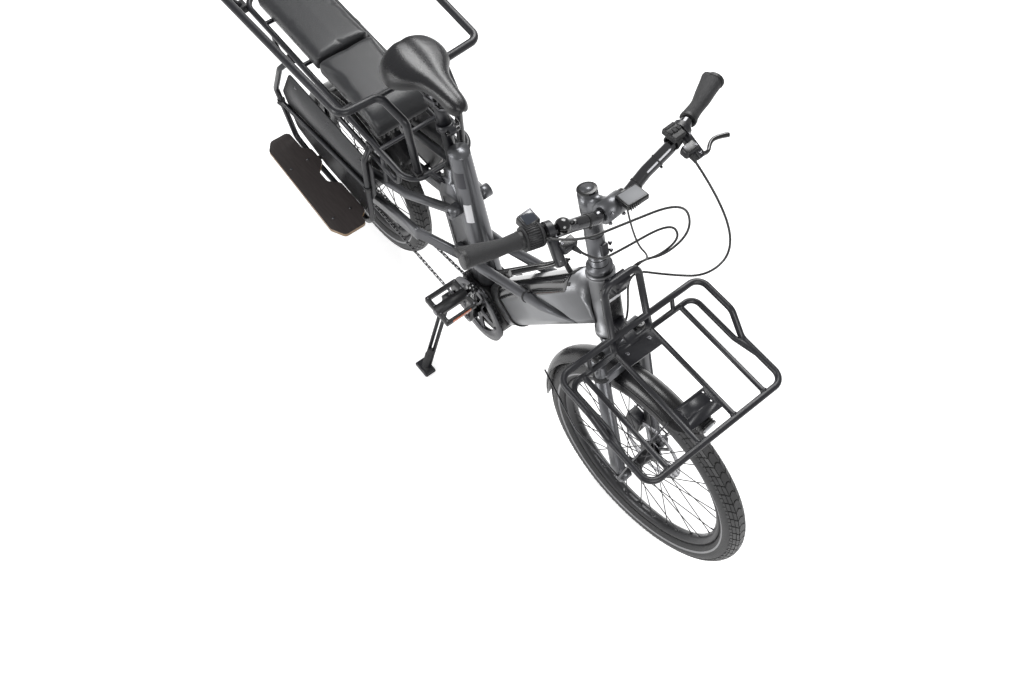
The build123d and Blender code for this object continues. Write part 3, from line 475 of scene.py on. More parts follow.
# ---- wheels ----
TYRE_R = 29                 # of the tyres' round section
VALVE_AT = 2.35             # angle of the valve round the wheel, in radians
ROUND = 150                 # stations round a tyre
SECTION, OPENING = 30, 282  # points round a tyre's section, and the degrees that they span
GROOVE_SHADE_POINTS = range(8, 21)      # the points that show between the blocks of the tread, darkened there as painted shade
SIDE_LUGS = (               # corners (share of the pitch, degrees round the section), lift of the foot and
                            # trim of the head in mm
    (((0.06, 20), (0.3, 33), (1.16, 33), (0.92, 20)), 0, 0.1),
    (((0.38, 36), (0.5, 50), (1.34, 50), (1.22, 36)), 0, 0.25),
    (((0.52, 53), (0.58, 66), (0.94, 66), (0.92, 53)), 0.4, 0.6),
    (((1.02, 53), (1.04, 62), (1.4, 62), (1.42, 53)), 0.4, 0.6))
CROWN_LUG = ((0.02, -17), (0.3, -5), (0.3, 5), (0.02, 17), (0.88, 17), (1.16, 5), (1.16, -5), (0.88, -17))


def wheel_place(center, axis):
    """Place function: radius, angle and offset to the left become a point of the wheel."""
    y = Vector(axis)
    if y.y < 0:
        y = -y
    z = (UP - y * y.z).normalized()
    x = y.cross(z)

    def place(r, angle, side):
        return center + (x * cos(angle) + z * sin(angle)) * (r / 1000) + y * (side / 1000)
    return place


def tyre_pieces(name, place, outer, blocks):
    """Casing with a low tread, blocks along the crown and shoulders, painted shade on the casing between the
    blocks, and a pale stripe each side.
    """
    body = name + "_wheel"
    mid = outer - TYRE_R

    def on_tyre(a, t, r):
        """Point at angle a round the wheel and t round the tyre's section, 0 on the crown."""
        return place(mid + r * cos(t), a, r * sin(t))

    rings = []
    for a in turns(ROUND):
        ring = []
        for k in range(SECTION):
            t = radians(OPENING * (k / (SECTION - 1) - 0.5))
            r = TYRE_R - 2.6 * max(0.0, cos(t)) ** 0.5 if abs(t) < 1.45 else TYRE_R
            ring.append(on_tyre(a, t, r - 0.7 if abs(abs(t) - 1.15) < 0.06 else r))
        rings.append(ring + [place(mid - TYRE_R * 0.9, a, side) for side in (12, 0, -12)])
    casing = Build().rings(rings, closed=True).done(name + "_casing", [RUBBER, GROOVE_SHADE], body, angle=60,
                                                    replaces=(name + "_tyre",))
    # The casing's points between the blocks take the near-black rubber, as painted shade.
    for p in casing.data.polygons:
        p.material_index = int(min(v % len(rings[0]) for v in p.vertices) in GROOVE_SHADE_POINTS)

    tread = Build()
    pitch = 2 * pi / blocks
    low, high = TYRE_R - 4.2, TYRE_R + 0.05

    def lug(start, corners, foot, head):
        """One block of the tread."""
        at = [(start + pitch * share, radians(t)) for share, t in corners]
        n = len(at)
        tread.add([on_tyre(a, t, foot) for a, t in at] + [on_tyre(a, t, head) for a, t in at],
                  [tuple(range(n, 2 * n))] + [(i, (i + 1) % n, n + (i + 1) % n, n + i) for i in range(n)])

    for i in range(blocks):
        lug(i * pitch, CROWN_LUG, low, high)
        for s in SIDES:
            for corners, lift, trim in SIDE_LUGS:
                lug(i * pitch, [(share, s * t) for share, t in corners], low + lift, high - trim)
    tread.done(name + "_tread", TREAD, body, angle=20)
    stripe = Build()
    for s in SIDES:
        edges = ((109, -0.3), (109.6, 0.25), (114, 0.25), (118.4, 0.25), (119, -0.3))
        stripe.rings([[on_tyre(a, s * radians(t), TYRE_R + e) for t, e in edges] for a in turns(ROUND)],
                     closed=True)
    stripe.done(name + "_stripe", STRIPE, body, angle=60)


def rim_details(name, place, outer):
    """Spoke nipples, and a valve with its cap."""
    metal = Build()
    inner = outer - 2 * TYRE_R + 3.6 - 19
    for i, a in enumerate(turns(32)):
        side = 3 if i % 2 else -3
        p, q = place(inner + 1, a, side), place(inner - 7, a, side * 1.3)
        metal.lathe(p, q - p, [(0, 2.6), (2, 2.6), (2.4, 1.7), (8, 1.7)], 8)
    metal.done(name + "_nipples", DARK_STEEL, name + "_wheel", slot="rim_black")
    p, q = place(inner + 2, VALVE_AT, 0), place(inner - 8, VALVE_AT, 0)
    profile = [(0, 4.4), (3, 4.4), (3.2, 3), (22, 3), (22.2, 3.7), (34, 3.7), (36, 2.4)]
    Build().lathe(p, q - p, profile, 14).done(name + "_valve", STEEL, name + "_wheel")


front_place = wheel_place(FRONT, Vector(JOINT["front_wheel_spin"]["axis"]).normalized())
rear_place = wheel_place(REAR, LEFT)
tyre_pieces("front", front_place, FRONT_R, 74)
tyre_pieces("rear", rear_place, REAR_R, 62)
rim_details("front", front_place, FRONT_R)
rim_details("rear", rear_place, REAR_R)

# ---- cables (their routes are the control points of smooth lines) ----
BAR_X, BAR_Z = 885, 1072
GRIP_END = 325
HOSE_R, LEAD_R = 2.5, 2


def bar_at(y):
    """Point on the bar's axis near the grips, this far to the left."""
    t = (abs(y) - 200) / (GRIP_END - 2 - 200)
    return P(868 - 34 * t, y, 1140 + 10 * t)


def cable_tube(route, radius):
    return Build().tube(smooth_line([S(p) for p in route], 90), radius, 10)


def held_cable(name, route, radius, replaces=()):
    """A cable that crosses the steering joint, drawn as the bars stand."""
    b = cable_tube(route, radius)
    ob = add_mesh(name, b.verts, b.faces, CABLE)
    tuple(S(on_steer(985, 70)))
    tuple(S(on_steer(845, 30)))
    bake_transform(ob)
    if replaces:
        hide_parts(*replaces)


inlet = on_steer(818, 22, 25)
gather, behind = P(976, 76, 940), P(936, 60, 884)
held_cable("rear_brake_hose", [bar_at(-164) + mm(51.2, 20, -16), P(962, -118, 1090), P(956, -50, 1050),
                               P(962, 96, 1020), P(984, 118, 975), gather, behind, inlet], HOSE_R,
           replaces=("control_cables",))
held_cable("shift_cable", [bar_at(-184) + mm(21.2, 0, 11.9), P(934, -140, 1144), P(946, -60, 1128),
                           P(968, 110, 1086), P(996, 132, 1000), gather + mm(8, 3, 4), behind + mm(-2, 6, 2),
                           inlet + mm(2, 2, -8)], HOSE_R)
held_cable("display_lead", [P(BAR_X + 20, 16, BAR_Z + 20.7), P(944, 16, 1010), P(972, 54, 945),
                            behind + mm(-4, -2, -6), inlet + mm(-2, -2, 12)], LEAD_R)
cable_tube([bar_at(190) + mm(50.6, -20, -16), P(1010, 168, 1084), P(1070, 188, 960), P(1060, 140, 898),
            P(1000, 92, 880), P(922, 58, 842), P(962, 50, 716), on_fork(372, -28, 58), on_fork(250, -6, 72),
            on_fork(98, -18, 60)], HOSE_R).done("front_brake_hose", CABLE, "steering", turned=False,
                                                replaces=("front_hose",))

# ---- soft parts ----
VOXEL = 0.0052              # in metres, as are the next two lines
SWELL = 0.004               # how far the pressure may push a point of the cover
SEAM_REACH, SEAM_PINCH = 0.0045, 0.0018
PAD_FOOT, PAD_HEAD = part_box("rear_seat_pad")
PAD_TOP, PAD_LOW, PAD_HALF = PAD_HEAD.z * 1000, PAD_FOOT.z * 1000, PAD_HEAD.y * 1000
PAD_REAR, PAD_GAP = ((corner.x - REAR.x) * 1000 for corner in (PAD_FOOT, PAD_HEAD))
SEAM_Z = (PAD_LOW + 12) / 1000


def simulate(ob):
    """Remesh, let a gentle pressure fill the cover for 20 frames, keep each point near where it was."""
    bpy.context.view_layer.objects.active = ob
    ob.select_set(True)
    mod = ob.modifiers.new("remesh", "REMESH")
    mod.mode, mod.voxel_size = "VOXEL", VOXEL
    bpy.ops.object.modifier_apply(modifier="remesh")
    start = [v.co.copy() for v in ob.data.vertices]
    cloth = ob.modifiers.new("cloth", "CLOTH").settings
    cloth.use_pressure = True
    cloth.uniform_pressure_force = 3.0
    cloth.effector_weights.gravity = 0
    cloth.quality = 4
    cloth.tension_stiffness = cloth.compression_stiffness = 25
    for f in range(1, 21):
        bpy.context.scene.frame_set(f)
    bpy.ops.object.modifier_apply(modifier="cloth")
    bpy.context.scene.frame_set(1)
    for v, s in zip(ob.data.vertices, start):
        d = v.co - s
        if d.length > SWELL:
            v.co = s + d.normalized() * SWELL
    ob.select_set(False)


def pad(name, node, stations):
    """Padded cover: after the simulation its seam is pinched and it is subdivided."""
    block = Build().rings(pad_rings(stations))
    ob = add_mesh(name, block.verts, block.faces, LEATHER)
    simulate(ob)
    centre = sum((v.co for v in ob.data.vertices), Vector()) / len(ob.data.vertices)
    for v in ob.data.vertices:
        d = abs(v.co.z - SEAM_Z)
        if d < SEAM_REACH:
            out = Vector((v.co.x - centre.x, v.co.y - centre.y, 0)).normalized()
            v.co -= out * (SEAM_PINCH * (1 - d / SEAM_REACH))
    smooth = ob.modifiers.new("smooth", "SMOOTH")
    smooth.factor, smooth.iterations = 0.5, 2
    sub = ob.modifiers.new("subdiv", "SUBSURF")
    sub.levels = sub.render_levels = 1
    smooth_shade(ob.data)
    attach(ob, "frame")
    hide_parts(node)


def pad_rings(stations):
    """Sections of a pad from stations of (x, top z, low z, half width), with softly rounded upper edges."""
    rings = []
    for x, top, low, half in stations:
        r = min(13, (top - low) * 0.45)
        arc = [radians(18 * k) for k in range(6)]
        edge = [(half - 5, low), (half, low + 5)]
        edge += [(half - r + r * cos(t), top - r + r * sin(t)) for t in arc]
        crown = [(half * s, top + 2.2 * (1 - s * s)) for s in (0.7, 0.4, 0.0, -0.4, -0.7)]
        rings.append([P(x, y, z) for y, z in edge + crown + [(-y, z) for y, z in edge[::-1]]])
    return rings


def pad_end(x, radius, inward):
    """Stations at an upright end whose upper edge is rounded, from the end inward or towards it."""
    out = []
    for k in range(5):
        t = k / 4 if inward else 1 - k / 4
        drop = radius * (1 - sqrt(1 - (1 - t) ** 2))
        end = x + radius * t if inward else x - radius * t
        out.append((end, PAD_TOP - drop, PAD_LOW, PAD_HALF - drop * 0.6))
    return out


def front_pad_stations():
    """The front pad: level at first, then bending down over its front end."""
    level_end = 124
    out = pad_end(-66, 5, True) + [(x, PAD_TOP, PAD_LOW, PAD_HALF) for x in (60, level_end - 6)]
    for step in range(1, 7):
        t = step / 6
        bend = t * 1.45
        out.append((level_end + 68 * sin(bend), PAD_TOP - 54 * (1 - cos(bend)),
                    PAD_LOW - 14 * min(1, t * 1.5), PAD_HALF - 7 * t * t))
    return out


pad("rear_pad_cover", "rear_seat_pad", pad_end(PAD_REAR, 12, True) + pad_end(PAD_GAP, 5, False))
pad("front_pad_cover", "front_seat_pad", front_pad_stations())


SADDLE_SPINE = [(198, 22, 943, 925), (200, 46, 950, 917), (207, 64, 955, 910), (222, 77, 957.5, 906),
                (242, 83.5, 957.5, 904), (262, 83.5, 956, 904), (280, 78, 954, 907), (296, 67, 952, 912),
                (311, 53, 950, 918), (326, 41, 948.5, 923), (344, 34, 947, 926), (364, 30, 946, 926),
                (386, 27.5, 945, 923), (405, 26.5, 943, 918), (418, 24, 939.5, 914), (427, 18, 935, 914),
                (432, 8, 929, 917)]     # x, half width, top and lower edge of the cover
SADDLE_ROUND = 41           # points across the top of each station


def saddle_top(station, s):
    """Point on the saddle's cover, s from -1 on the right edge to 1 on the left."""
    x, half, top, low = station
    wide = max(0.0, min(1.0, (half - 26) / 50))
    y = half * sin(s * pi / 2)
    edge = abs(y) / half
    fall = 10 * wide * edge ** 1.6 + 2.6 * wide * exp(-((edge - 0.6) / 0.24) ** 2)
    channel = (1.2 + 4.8 * wide) * exp(-(y / (8 + 10 * wide)) ** 2)
    wall = (top - 10 * wide - low) * (1 - sqrt(max(0.0, 1 - edge ** (2.8 + 1.6 * wide))))
    return P(x, y, top - fall - channel - wall)


def saddle():
    """Wide saddle: lobes that slope off either side of a channel, a slim nose and dark wings."""
    rings = []
    for station in SADDLE_SPINE:
        x, half, _, low = station
        top = [saddle_top(station, -1 + 2 * k / (SADDLE_ROUND - 1)) for k in range(SADDLE_ROUND)]
        belly = [P(x, (half - 3) * s, low - 1 + 7 * (1 - s * s)) for s in (1 - k / 5 for k in range(11))]
        rings.append(top + belly)
    cover = Build().rings(rings).done("saddle_cover", [SADDLE, SADDLE_SIDE, PLASTIC], subdiv=1,
                                      replaces=("saddle",))
    for p in cover.data.polygons:
        k = min(p.vertices) % len(rings[0])
        if SADDLE_ROUND <= k < len(rings[0]) - 1:
            p.material_index = 2
        elif k < 7 or k > SADDLE_ROUND - 9:
            p.material_index = 1


saddle()


# ---- surface patches ----
PATCH_STEPS = 13


def patch(name, node, start, toward, up, size, mat):
    """Thin blank label laid on a CAD surface: rays from a flat rectangle find the skin under it."""
    toward = toward.normalized()
    up = (up - toward * up.dot(toward)).normalized()
    across = toward.cross(up)
    mesh = NODES[node].data
    tree = BVHTree.FromPolygons([v.co for v in mesh.vertices], [p.vertices for p in mesh.polygons])
    spread = [k / PATCH_STEPS - 0.5 for k in range(PATCH_STEPS + 1)]
    rings = []
    for a in spread:
        row = []
        for b in spread:
            source = start + across * (a * size[0] / 1000) + up * (b * size[1] / 1000)
            row.append(tree.ray_cast(source, toward)[0] or source)
        rings.append([hit - toward * 0.0005 for hit in row] + [hit + toward * 0.0004 for hit in row[::-1]])
    Build().rings(rings).done(name, mat)


# ---- frame details ----
LID_START, LID_END, LID_EDGE = 120, 520, 34     # the battery lid along the down tube, and its lower edge
LID_STEPS = 40


def round_tube(along, grow, angles):
    """Points round the down tube at these angles, this far outside it."""
    r = TUBE_CORNER + grow
    out = []
    for a in angles:
        c, s = cos(a), sin(a)
        lift = copysign(TUBE_TOP - TUBE_CORNER, s) + r * s
        out.append(on_down(along, lift, copysign(TUBE_HALF - TUBE_CORNER, c) + r * c))
    return out


def battery_lid():
    """Glossy lid over the down tube's top, with a rounded front end."""
    def arch(along, grow, edge):
        turn = asin((edge - TUBE_TOP + TUBE_CORNER) / (TUBE_CORNER + grow))
        return round_tube(along, grow, [turn + (pi - 2 * turn) * i / 28 for i in range(29)])

    rings = []
    for i in range(LID_STEPS + 1):
        along = LID_START + (LID_END - LID_START) * i / LID_STEPS
        lift = max(0.0, (along - LID_END + 30) / 30)
        edge = LID_EDGE + 22 * (1 - sqrt(max(0.0, 1 - lift ** 2)))
        outer = arch(along, 3.2 if 0 < i < LID_STEPS else 2.4, edge)
        rings.append(outer + arch(along, 0.3, edge)[::-1])
    Build().rings(rings).done("battery_lid", GLOSS, slot="frame_paint", angle=50,
                              replaces=("battery_cover",))


def battery_details():
    """Latches of the battery, its lock, and the dark joint round the tube's foot."""
    joint = ((-3.2, 0.4), (-2.4, 3.9), (2.4, 3.9), (3.2, 0.4))
    rings = [round_tube(117 + step, grow, turns(48, 0.5)) for step, grow in joint]
    Build().rings(rings).done("battery_rear_band", SEAM)
    latch = Build()
    for side in SIDES:
        latch.block(on_down(524, 47, side * 32), (14, 9, 7), 2.2, DOWN_DIR, DOWN_UP + LEFT * side * 0.9)
    latch.block(on_down(522, TUBE_TOP + 1), (16, 26, 6), 2.4, DOWN_DIR, DOWN_UP)
    latch.done("battery_latches", PLASTIC)
    lock = [(0, 11), (3.4, 11), (4, 10), (4, 6), (3, 5.6), (3, 1)]
    Build().lathe(on_down(300, 26, 42), LEFT, lock, 28).done("battery_lock", STEEL)


def seat_tube_details():
    """Blank label and sticker on the lobe, and its parting lines."""
    corner = -SEAT_FWD * 0.62 + LEFT * 0.78
    for name, along, forward, size, mat in (("seat_tube_label", -6, 36, (24, 45), LABEL),
                                            ("seat_tube_sticker", -105, 42, (20, 55), STICKER)):
        patch(name, "seat_tube", on_seat(along, forward) - corner * 0.12, corner, SEAT_DIR, size, mat)
    seam = Build()
    for side in SIDES:
        seam.tube([on_seat(a, f, side * 29.3) for a, f in ((-104, -40), (-200, -36), (-318, -28))], 0.9, 8)
    seam.done("seat_tube_seams", SEAM, slot="frame_paint")


def post_details():
    """Quick-release lever, its bolt and cam, and the post's rubber wiper."""
    b = Build()
    b.bolt(on_seat(115, 30, -12), -LEFT, 5, 5)
    b.lathe(on_seat(115, 30, 10), LEFT, [(0, 6), (9, 6), (10, 4.5)], 20)
    b.tube([on_seat(115, 32, 16), on_seat(117, 22, 25), on_seat(118, 4, 28)],
           lambda t: (4.2 + 1.6 * t, 3.0 - 1.0 * t), 12, bend=9)
    b.done("post_clamp_lever", GLOSS, slot="black_metal")
    Build().lathe(on_seat(0), SEAT_DIR, [(0, 22), (4, 21.6), (6, 19), (7, 14.8)]).done("post_wiper", GRIP)


def saddle_hardware():
    """Clamp plates and their bolts."""
    b = Build()
    for side in (-22, 22):
        b.block(on_seat(198, 3, side), (44, 11, 15), 3, SEAT_FWD, SEAT_DIR)
        b.bolt(on_seat(203, 18, side), SEAT_DIR, 3.6, 4)
    b.done("saddle_clamp", DARK_STEEL)


def head_details():
    """Front plate with its blank sticker, and the headset's bands."""
    Build().block(on_steer(786, 21), (118, 46, 28), 12, STEER_DIR, STEER_FWD, segs=5).done(
        "head_plate", SMOOTH_PLASTIC)
    Build().block(on_steer(812, 21.3), (25, 46.8, 28.4), 12, STEER_DIR, STEER_FWD, segs=5).done(
        "head_sticker", STICKER, slot="plastic_grey")
    bands = Build().band(on_steer(700), STEER_DIR, 7, 29, 32.6, 1, 48)
    bands.band(on_steer(862), STEER_DIR, 5, 29, 31.8, 1, 48).done("headset_bands", DARK_STEEL)


def motor_details():
    """Round motor covers with a stepped rim, and the crank's bolts."""
    covers, bolts = Build(), Build()
    steps = [(0, 50), (1.6, 50), (2.4, 48), (2.4, 40), (1.4, 38), (1.4, 24), (2.6, 22), (2.6, 12)]
    for side in SIDES:
        covers.lathe(CRANK + LEFT * side * 0.0465, LEFT * side, steps, 56)
        bolts.bolt(CRANK + LEFT * side * 0.096, LEFT * side, 7.5, 3)
    covers.done("motor_covers", SMOOTH_PLASTIC)
    bolts.done("crank_bolts", BOLT, "crank")


def stay_tie():
    """Cable tie round the right mixte stay and the strap."""
    at, direction = P(735, -47, 591), Vector((0.877, 0, 0.48))
    ring = Build().band(at - direction * 0.003, direction, 6, 13.2, 14.6, 0.4)
    ring.block(at + mm(0, 4, 16), (8, 7, 6), 1.2, direction).done("stay_tie", PLASTIC)


def strap():
    """Perforated rubber strap: two edges joined by rungs, over the down tube, on a peg."""
    b = Build()
    start, length, height = 62, 436, TUBE_TOP + 26
    for side in SIDES:
        b.block(on_down(start + length / 2, height, side * 8.5), (length, 5, 5), 1.2, DOWN_DIR, DOWN_UP)
    for i in range(28):
        b.block(on_down(start + 6 + i * 15.7, height), (6, 13, 4.4), 0.8, DOWN_DIR, DOWN_UP)
    peg = [(0, 5.9), (20, 5.9), (22, 8.5), (27, 9.5), (30.5, 9.5), (31.5, 8)]
    b.lathe(on_down(488, TUBE_TOP), DOWN_UP, peg, 24)
    b.done("perforated_strap", GRIP, slot="plastic_black", replaces=("lock_strap",))


battery_lid()
battery_details()
seat_tube_details()
post_details()
saddle_hardware()
head_details()
motor_details()
stay_tie()
strap()


# ---- rear carrier details ----
BOARD_OUTLINE = [(-218, -140), (-218, -200), (-190, -222), (134, -232), (176, -210), (176, -140),
                 (150, -140), (140, -120), (22, -120), (-4, -148), (-46, -148), (-72, -120), (-128, -120),
                 (-142, -140)]


def carrier_details():
    """Clamps and bolts of the passenger rail, rack feet, guard screws and board bolts."""
    bolts, clamps, boards = Build(), Build(), Build()
    for side in SIDES:
        out = LEFT * side
        for x, y in ((-390, 112), (334, 67)):
            clamps.block(P(x, side * y, 656), (30, 22, 26), 4)
            bolts.bolt(P(x, side * (y + 11), 656), out, 4, 3)
        for x, z in ((-246, 428), (184, 484)):
            clamps.band(P(x, side * 126, z - 9), UP, 18, 10.4, 11, 1, 24)
            bolts.bolt(P(x, side * 136, z), out, 3.6, 3)
        for x, z in ((-150, 560), (0, 560), (150, 560), (-60, 360), (120, 360)):
            bolts.bolt(P(x, side * 117.8, z), out, 3.4, 2)
        for x, y in ((-100, 150), (-100, 206), (110, 150), (110, 206)):
            boards.bolt(P(x, side * y, 333.9), UP, 3, 1.6)
        bolts.bolt(P(451, side * 62, 616), out, 6, 3)
    clamps.done("carrier_clamps", PLASTIC)
    bolts.done("carrier_bolts", BOLT)
    boards.done("footboard_bolts", BOLT)


def footboards():
    """Plywood boards with softly rounded corners and edges."""
    b = Build()
    for side in SIDES:
        line = rounded([mm(x, -side * y, 0) for x, y in BOARD_OUTLINE], 15, closed=True)
        b.prism([(v.x * 1000, v.y * 1000) for v in line], 322, 334)
    b.done("footboard_plywood", PLY, bevel=1.2, replaces=("footboards",))


def pad_tray():
    """Black moulded tray under the front pad, with ribs on its front face."""
    b = Build().prism([(-60, 70), (150, 70), (172, 58), (172, -58), (150, -70), (-60, -70)], 648, 662.5)
    for i in range(9):
        b.block(P(176, -56 + 14 * i, 641), (5, 7, 26), 1.6)
    b.done("front_pad_tray", PLASTIC, bevel=2.5)


def rear_light_details():
    """Housing behind the lens and a row of lens flutes."""
    low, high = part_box("rear_light")
    mid = middle("rear_light")
    Build().block(mid + mm(7, 0, 0), (12, 97, 44), 4).done("rear_light_housing", SMOOTH_PLASTIC)
    flutes = Build()
    for i in range(11):
        y = mid.y - 0.036 + 0.0072 * i
        flutes.tube([Vector((low.x + 0.0004, y, z)) for z in (low.z + 0.009, high.z - 0.009)], 2.2, 10)
    flutes.done("rear_light_flutes", RED)


carrier_details()
footboards()
pad_tray()
rear_light_details()


# ---- chain ----
def chain_line(big, small, count):
    """Points evenly along the chain's centre line, round two sprockets of these radii."""
    gap = CRANK - REAR
    span, tilt = hypot(gap.x, gap.z) * 1000, atan2(gap.z, gap.x)
    lean = acos((big - small) / span)
    straight = sqrt(span ** 2 - (big - small) ** 2)

    def on_ring(centre, radius, a):
        return centre + Vector((cos(a), 0, sin(a))) * (radius / 1000)

    def upper(s):
        return on_ring(CRANK, big, tilt + lean).lerp(on_ring(REAR, small, tilt + lean), s / straight)

    def lower(s):
        return on_ring(REAR, small, tilt - lean).lerp(on_ring(CRANK, big, tilt - lean), s / straight)

    runs = [(2 * lean * big, lambda s: on_ring(CRANK, big, tilt - lean + s / big)), (straight, upper),
            (2 * (pi - lean) * small, lambda s: on_ring(REAR, small, tilt + lean + s / small)),
            (straight, lower)]
    out = []
    for i in range(count):
        s = sum(length for length, _ in runs) * i / count
        for length, run in runs:
            if s <= length:
                out.append(run(s))
                break
            s -= length
    return out


def chain():
    """Rollers and alternating inner and outer plates."""
    b = Build()
    y = middle("chain").y
    points = [Vector((p.x, y, p.z)) for p in chain_line(94.3, 44.3, 122)]
    for i, (p, q) in enumerate(zip(points, points[1:] + points[:1])):
        run = (q - p).normalized()
        b.lathe(p - LEFT * 0.0034, LEFT, [(0, 1.7), (0, 2.1), (6.8, 2.1), (6.8, 1.7)], 8)
        reach = 2.7 if i % 2 else 1.7
        for side in SIDES:
            plate = ((q - p).length * 1000 + 7, 0.9, 6.2)
            b.block((p + q) / 2 + LEFT * (side * reach / 1000), plate, 0, run, run.cross(LEFT))
    b.done("chain_links", DARK_STEEL, replaces=("chain",), angle=30)


chain()


# ---- crank, pedals and stand ----
def pedal_details(side, body):
    """Grip pins on both faces, amber reflectors front and back, and the bearing cap."""
    mid = middle(body)
    pins, amber = Build(), Build()
    for face in SIDES:
        for x in (-40, -14, 14, 40):
            for y in (-41, 41):
                pins.lathe(mid + mm(x, y, face * 7.5), UP * face, [(0, 2.4), (2.4, 2.0), (3, 1.2)], 8)
    pins.lathe(mid + LEFT * side * 0.0455, LEFT * side, [(0, 9), (3, 9), (4.5, 6)], 20)
    pins.done(body + "_pins", BOLT, body)
    for end in SIDES:
        amber.block(mid + mm(end * 45.5, 0, 0), (4, 56, 11), 1.4)
    amber.done(body + "_reflectors", AMBER, body)


def chainring_details():
    """Bolts of the chainring's spider."""
    b = Build()
    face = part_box("chainring")[0].y + 0.0002
    for a in turns(5):
        b.bolt(Vector((CRANK.x + cos(a) * 0.074, face, CRANK.z + sin(a) * 0.074)), -LEFT, 4, 2)
    b.done("chainring_bolts", BOLT, "crank")


def stand_details():
    """Moulded boots round the feet, and the return springs beside the pivot."""
    boots, spring = Build(), Build()
    for side in SIDES:
        foot, knee = P(492, side * 190, 8), P(479, side * 157, 60)
        boots.tube([foot + mm(16, 0, 1), foot, knee + mm(3, side * 10, -12), knee],
                   lambda t: (7 + 5 * min(1, 2 * t), 14 - 4 * t), 18, bend=10)
        boots.block(P(492, side * 190, 5.2), (56, 36, 10), 4.4)
        coil = []
        for i in range(121):
            a = pi * i / 5
            coil.append(P(447 + 0.33 * i, side * 40 + 5 * cos(a), 206 + 5 * sin(a) + 0.26 * i))
        spring.tube(coil, 1.1, 6)
    boots.done("stand_boots", GRIP, "stand")
    spring.done("stand_springs", BOLT)


pedal_details(1, "pedal_left")
pedal_details(-1, "pedal_right")
chainring_details()
stand_details()


# ---- steering: fender, fork, brakes and stem ----
straight_place = wheel_place(P(1150, 0, 313.5), LEFT)
FENDER_START, FENDER_END = 77, 196      # degrees round the wheel, from straight ahead over the top
FENDER_HALF, FENDER_SKIRT = 34, 21
FENDER_SPREAD = radians(66)


def on_fender(a, s, inset, width=1.0):
    """Point on the front fender, s from -1 on the right skirt to 1 on the left."""
    share = (a - FENDER_START) / (FENDER_END - FENDER_START)
    crown = FRONT_R + 13.6 + 8 * sin(pi * min(1, max(0, share))) - inset
    turn = s * width * FENDER_SPREAD
    drop = FENDER_SKIRT * (1 - cos(turn)) / (1 - cos(FENDER_SPREAD))
    out = FENDER_HALF * sin(turn) / sin(FENDER_SPREAD)
    return straight_place(crown - drop, radians(a), out)


def front_fender():
    """Deep mudguard whose skirts come down beside the tyre, with rolled edges and a rounded tail."""
    span = FENDER_END - FENDER_START
    rings = []
    for i in range(71):
        a = FENDER_START + span * i / 70
        width = sqrt(1 - (1 - min(1.0, (min(i, 70 - i) + 0.6) / 5)) ** 2)
        rings.append([on_fender(a, -1 + k / 8, 0, width) for k in range(17)]
                     + [on_fender(a, 1 - k / 8, 2.2, width) for k in range(17)])
    Build().rings(rings).done("front_fender_shell", SMOOTH_PLASTIC, "steering", angle=50,
                              replaces=("front_fender",))
    edges = Build()
    for side in SIDES:
        edges.tube([on_fender(FENDER_START + 9 + (span - 18) * i / 40, side, 1) for i in range(41)], 1.6, 8)
    edges.done("front_fender_edges", SMOOTH_PLASTIC, "steering")


def fork_details():
    """Preload caps, wiper seals, crown bolts and axle nuts."""
    caps, seals, bolts = Build(), Build(), Build()
    cap = [(0, 15.5), (6, 15.5), (9, 13.5), (10.5, 9), (10.5, 1)]
    seal = [(0, 18), (1.5, 19.4), (7, 19.4), (10, 16.6), (11, 14.6)]
    nut = [(0, 11), (2, 11.5), (6, 11.5), (8, 9.5), (8, 4)]
    for side in SIDES:
        leg = side * 64
        caps.lathe(on_fork(407, 24, leg), STEER_DIR, cap, 28)
        caps.block(on_fork(417.5, 24, leg), (19, 3.4, 4), 1, STEER_FWD, STEER_DIR)
        seals.lathe(on_fork(343, 24, leg), STEER_DIR, seal)
        bolts.bolt(on_fork(393, 36, side * 81), LEFT * leg, 3.6, 3)
        bolts.lathe(on_fork(0, 45, side * 76), LEFT * leg, nut, 6)
    caps.done("fork_caps", SMOOTH_PLASTIC, "steering")
    seals.done("fork_seals", GRIP, "steering")
    bolts.done("fork_bolts", BOLT, "steering")


def brake_details():
    """Cooling fins and bolts of the calipers, and the screws of both discs."""
    fins, bolts, rear_fins = Build(), Build(), Build()
    for i in range(4):
        fins.block(on_fork(46 + 13 * i, -10, 59.5), (34, 3, 5), 1, STEER_FWD, STEER_DIR)
        rear_fins.block(P(36 + 11 * i, 71, 318), (5, 3, 28), 1)
    for along, forward in ((44, 8), (90, -24)):
        bolts.bolt(on_fork(along, forward, 58), LEFT, 4, 3)
    fins.done("front_caliper_fins", POWDER, "steering")
    bolts.done("front_caliper_bolts", BOLT, "steering")
    rear_fins.done("rear_caliper_fins", POWDER)
    for name, place, side in (("front", front_place, 38.2), ("rear", rear_place, 46.2)):
        screws = Build()
        for a in turns(6):
            p = place(26, a, side)
            screws.bolt(p, place(26, a, side + 10) - p, 2.8, 1.4)
        screws.done(name + "_disc_screws", BOLT, name + "_wheel")


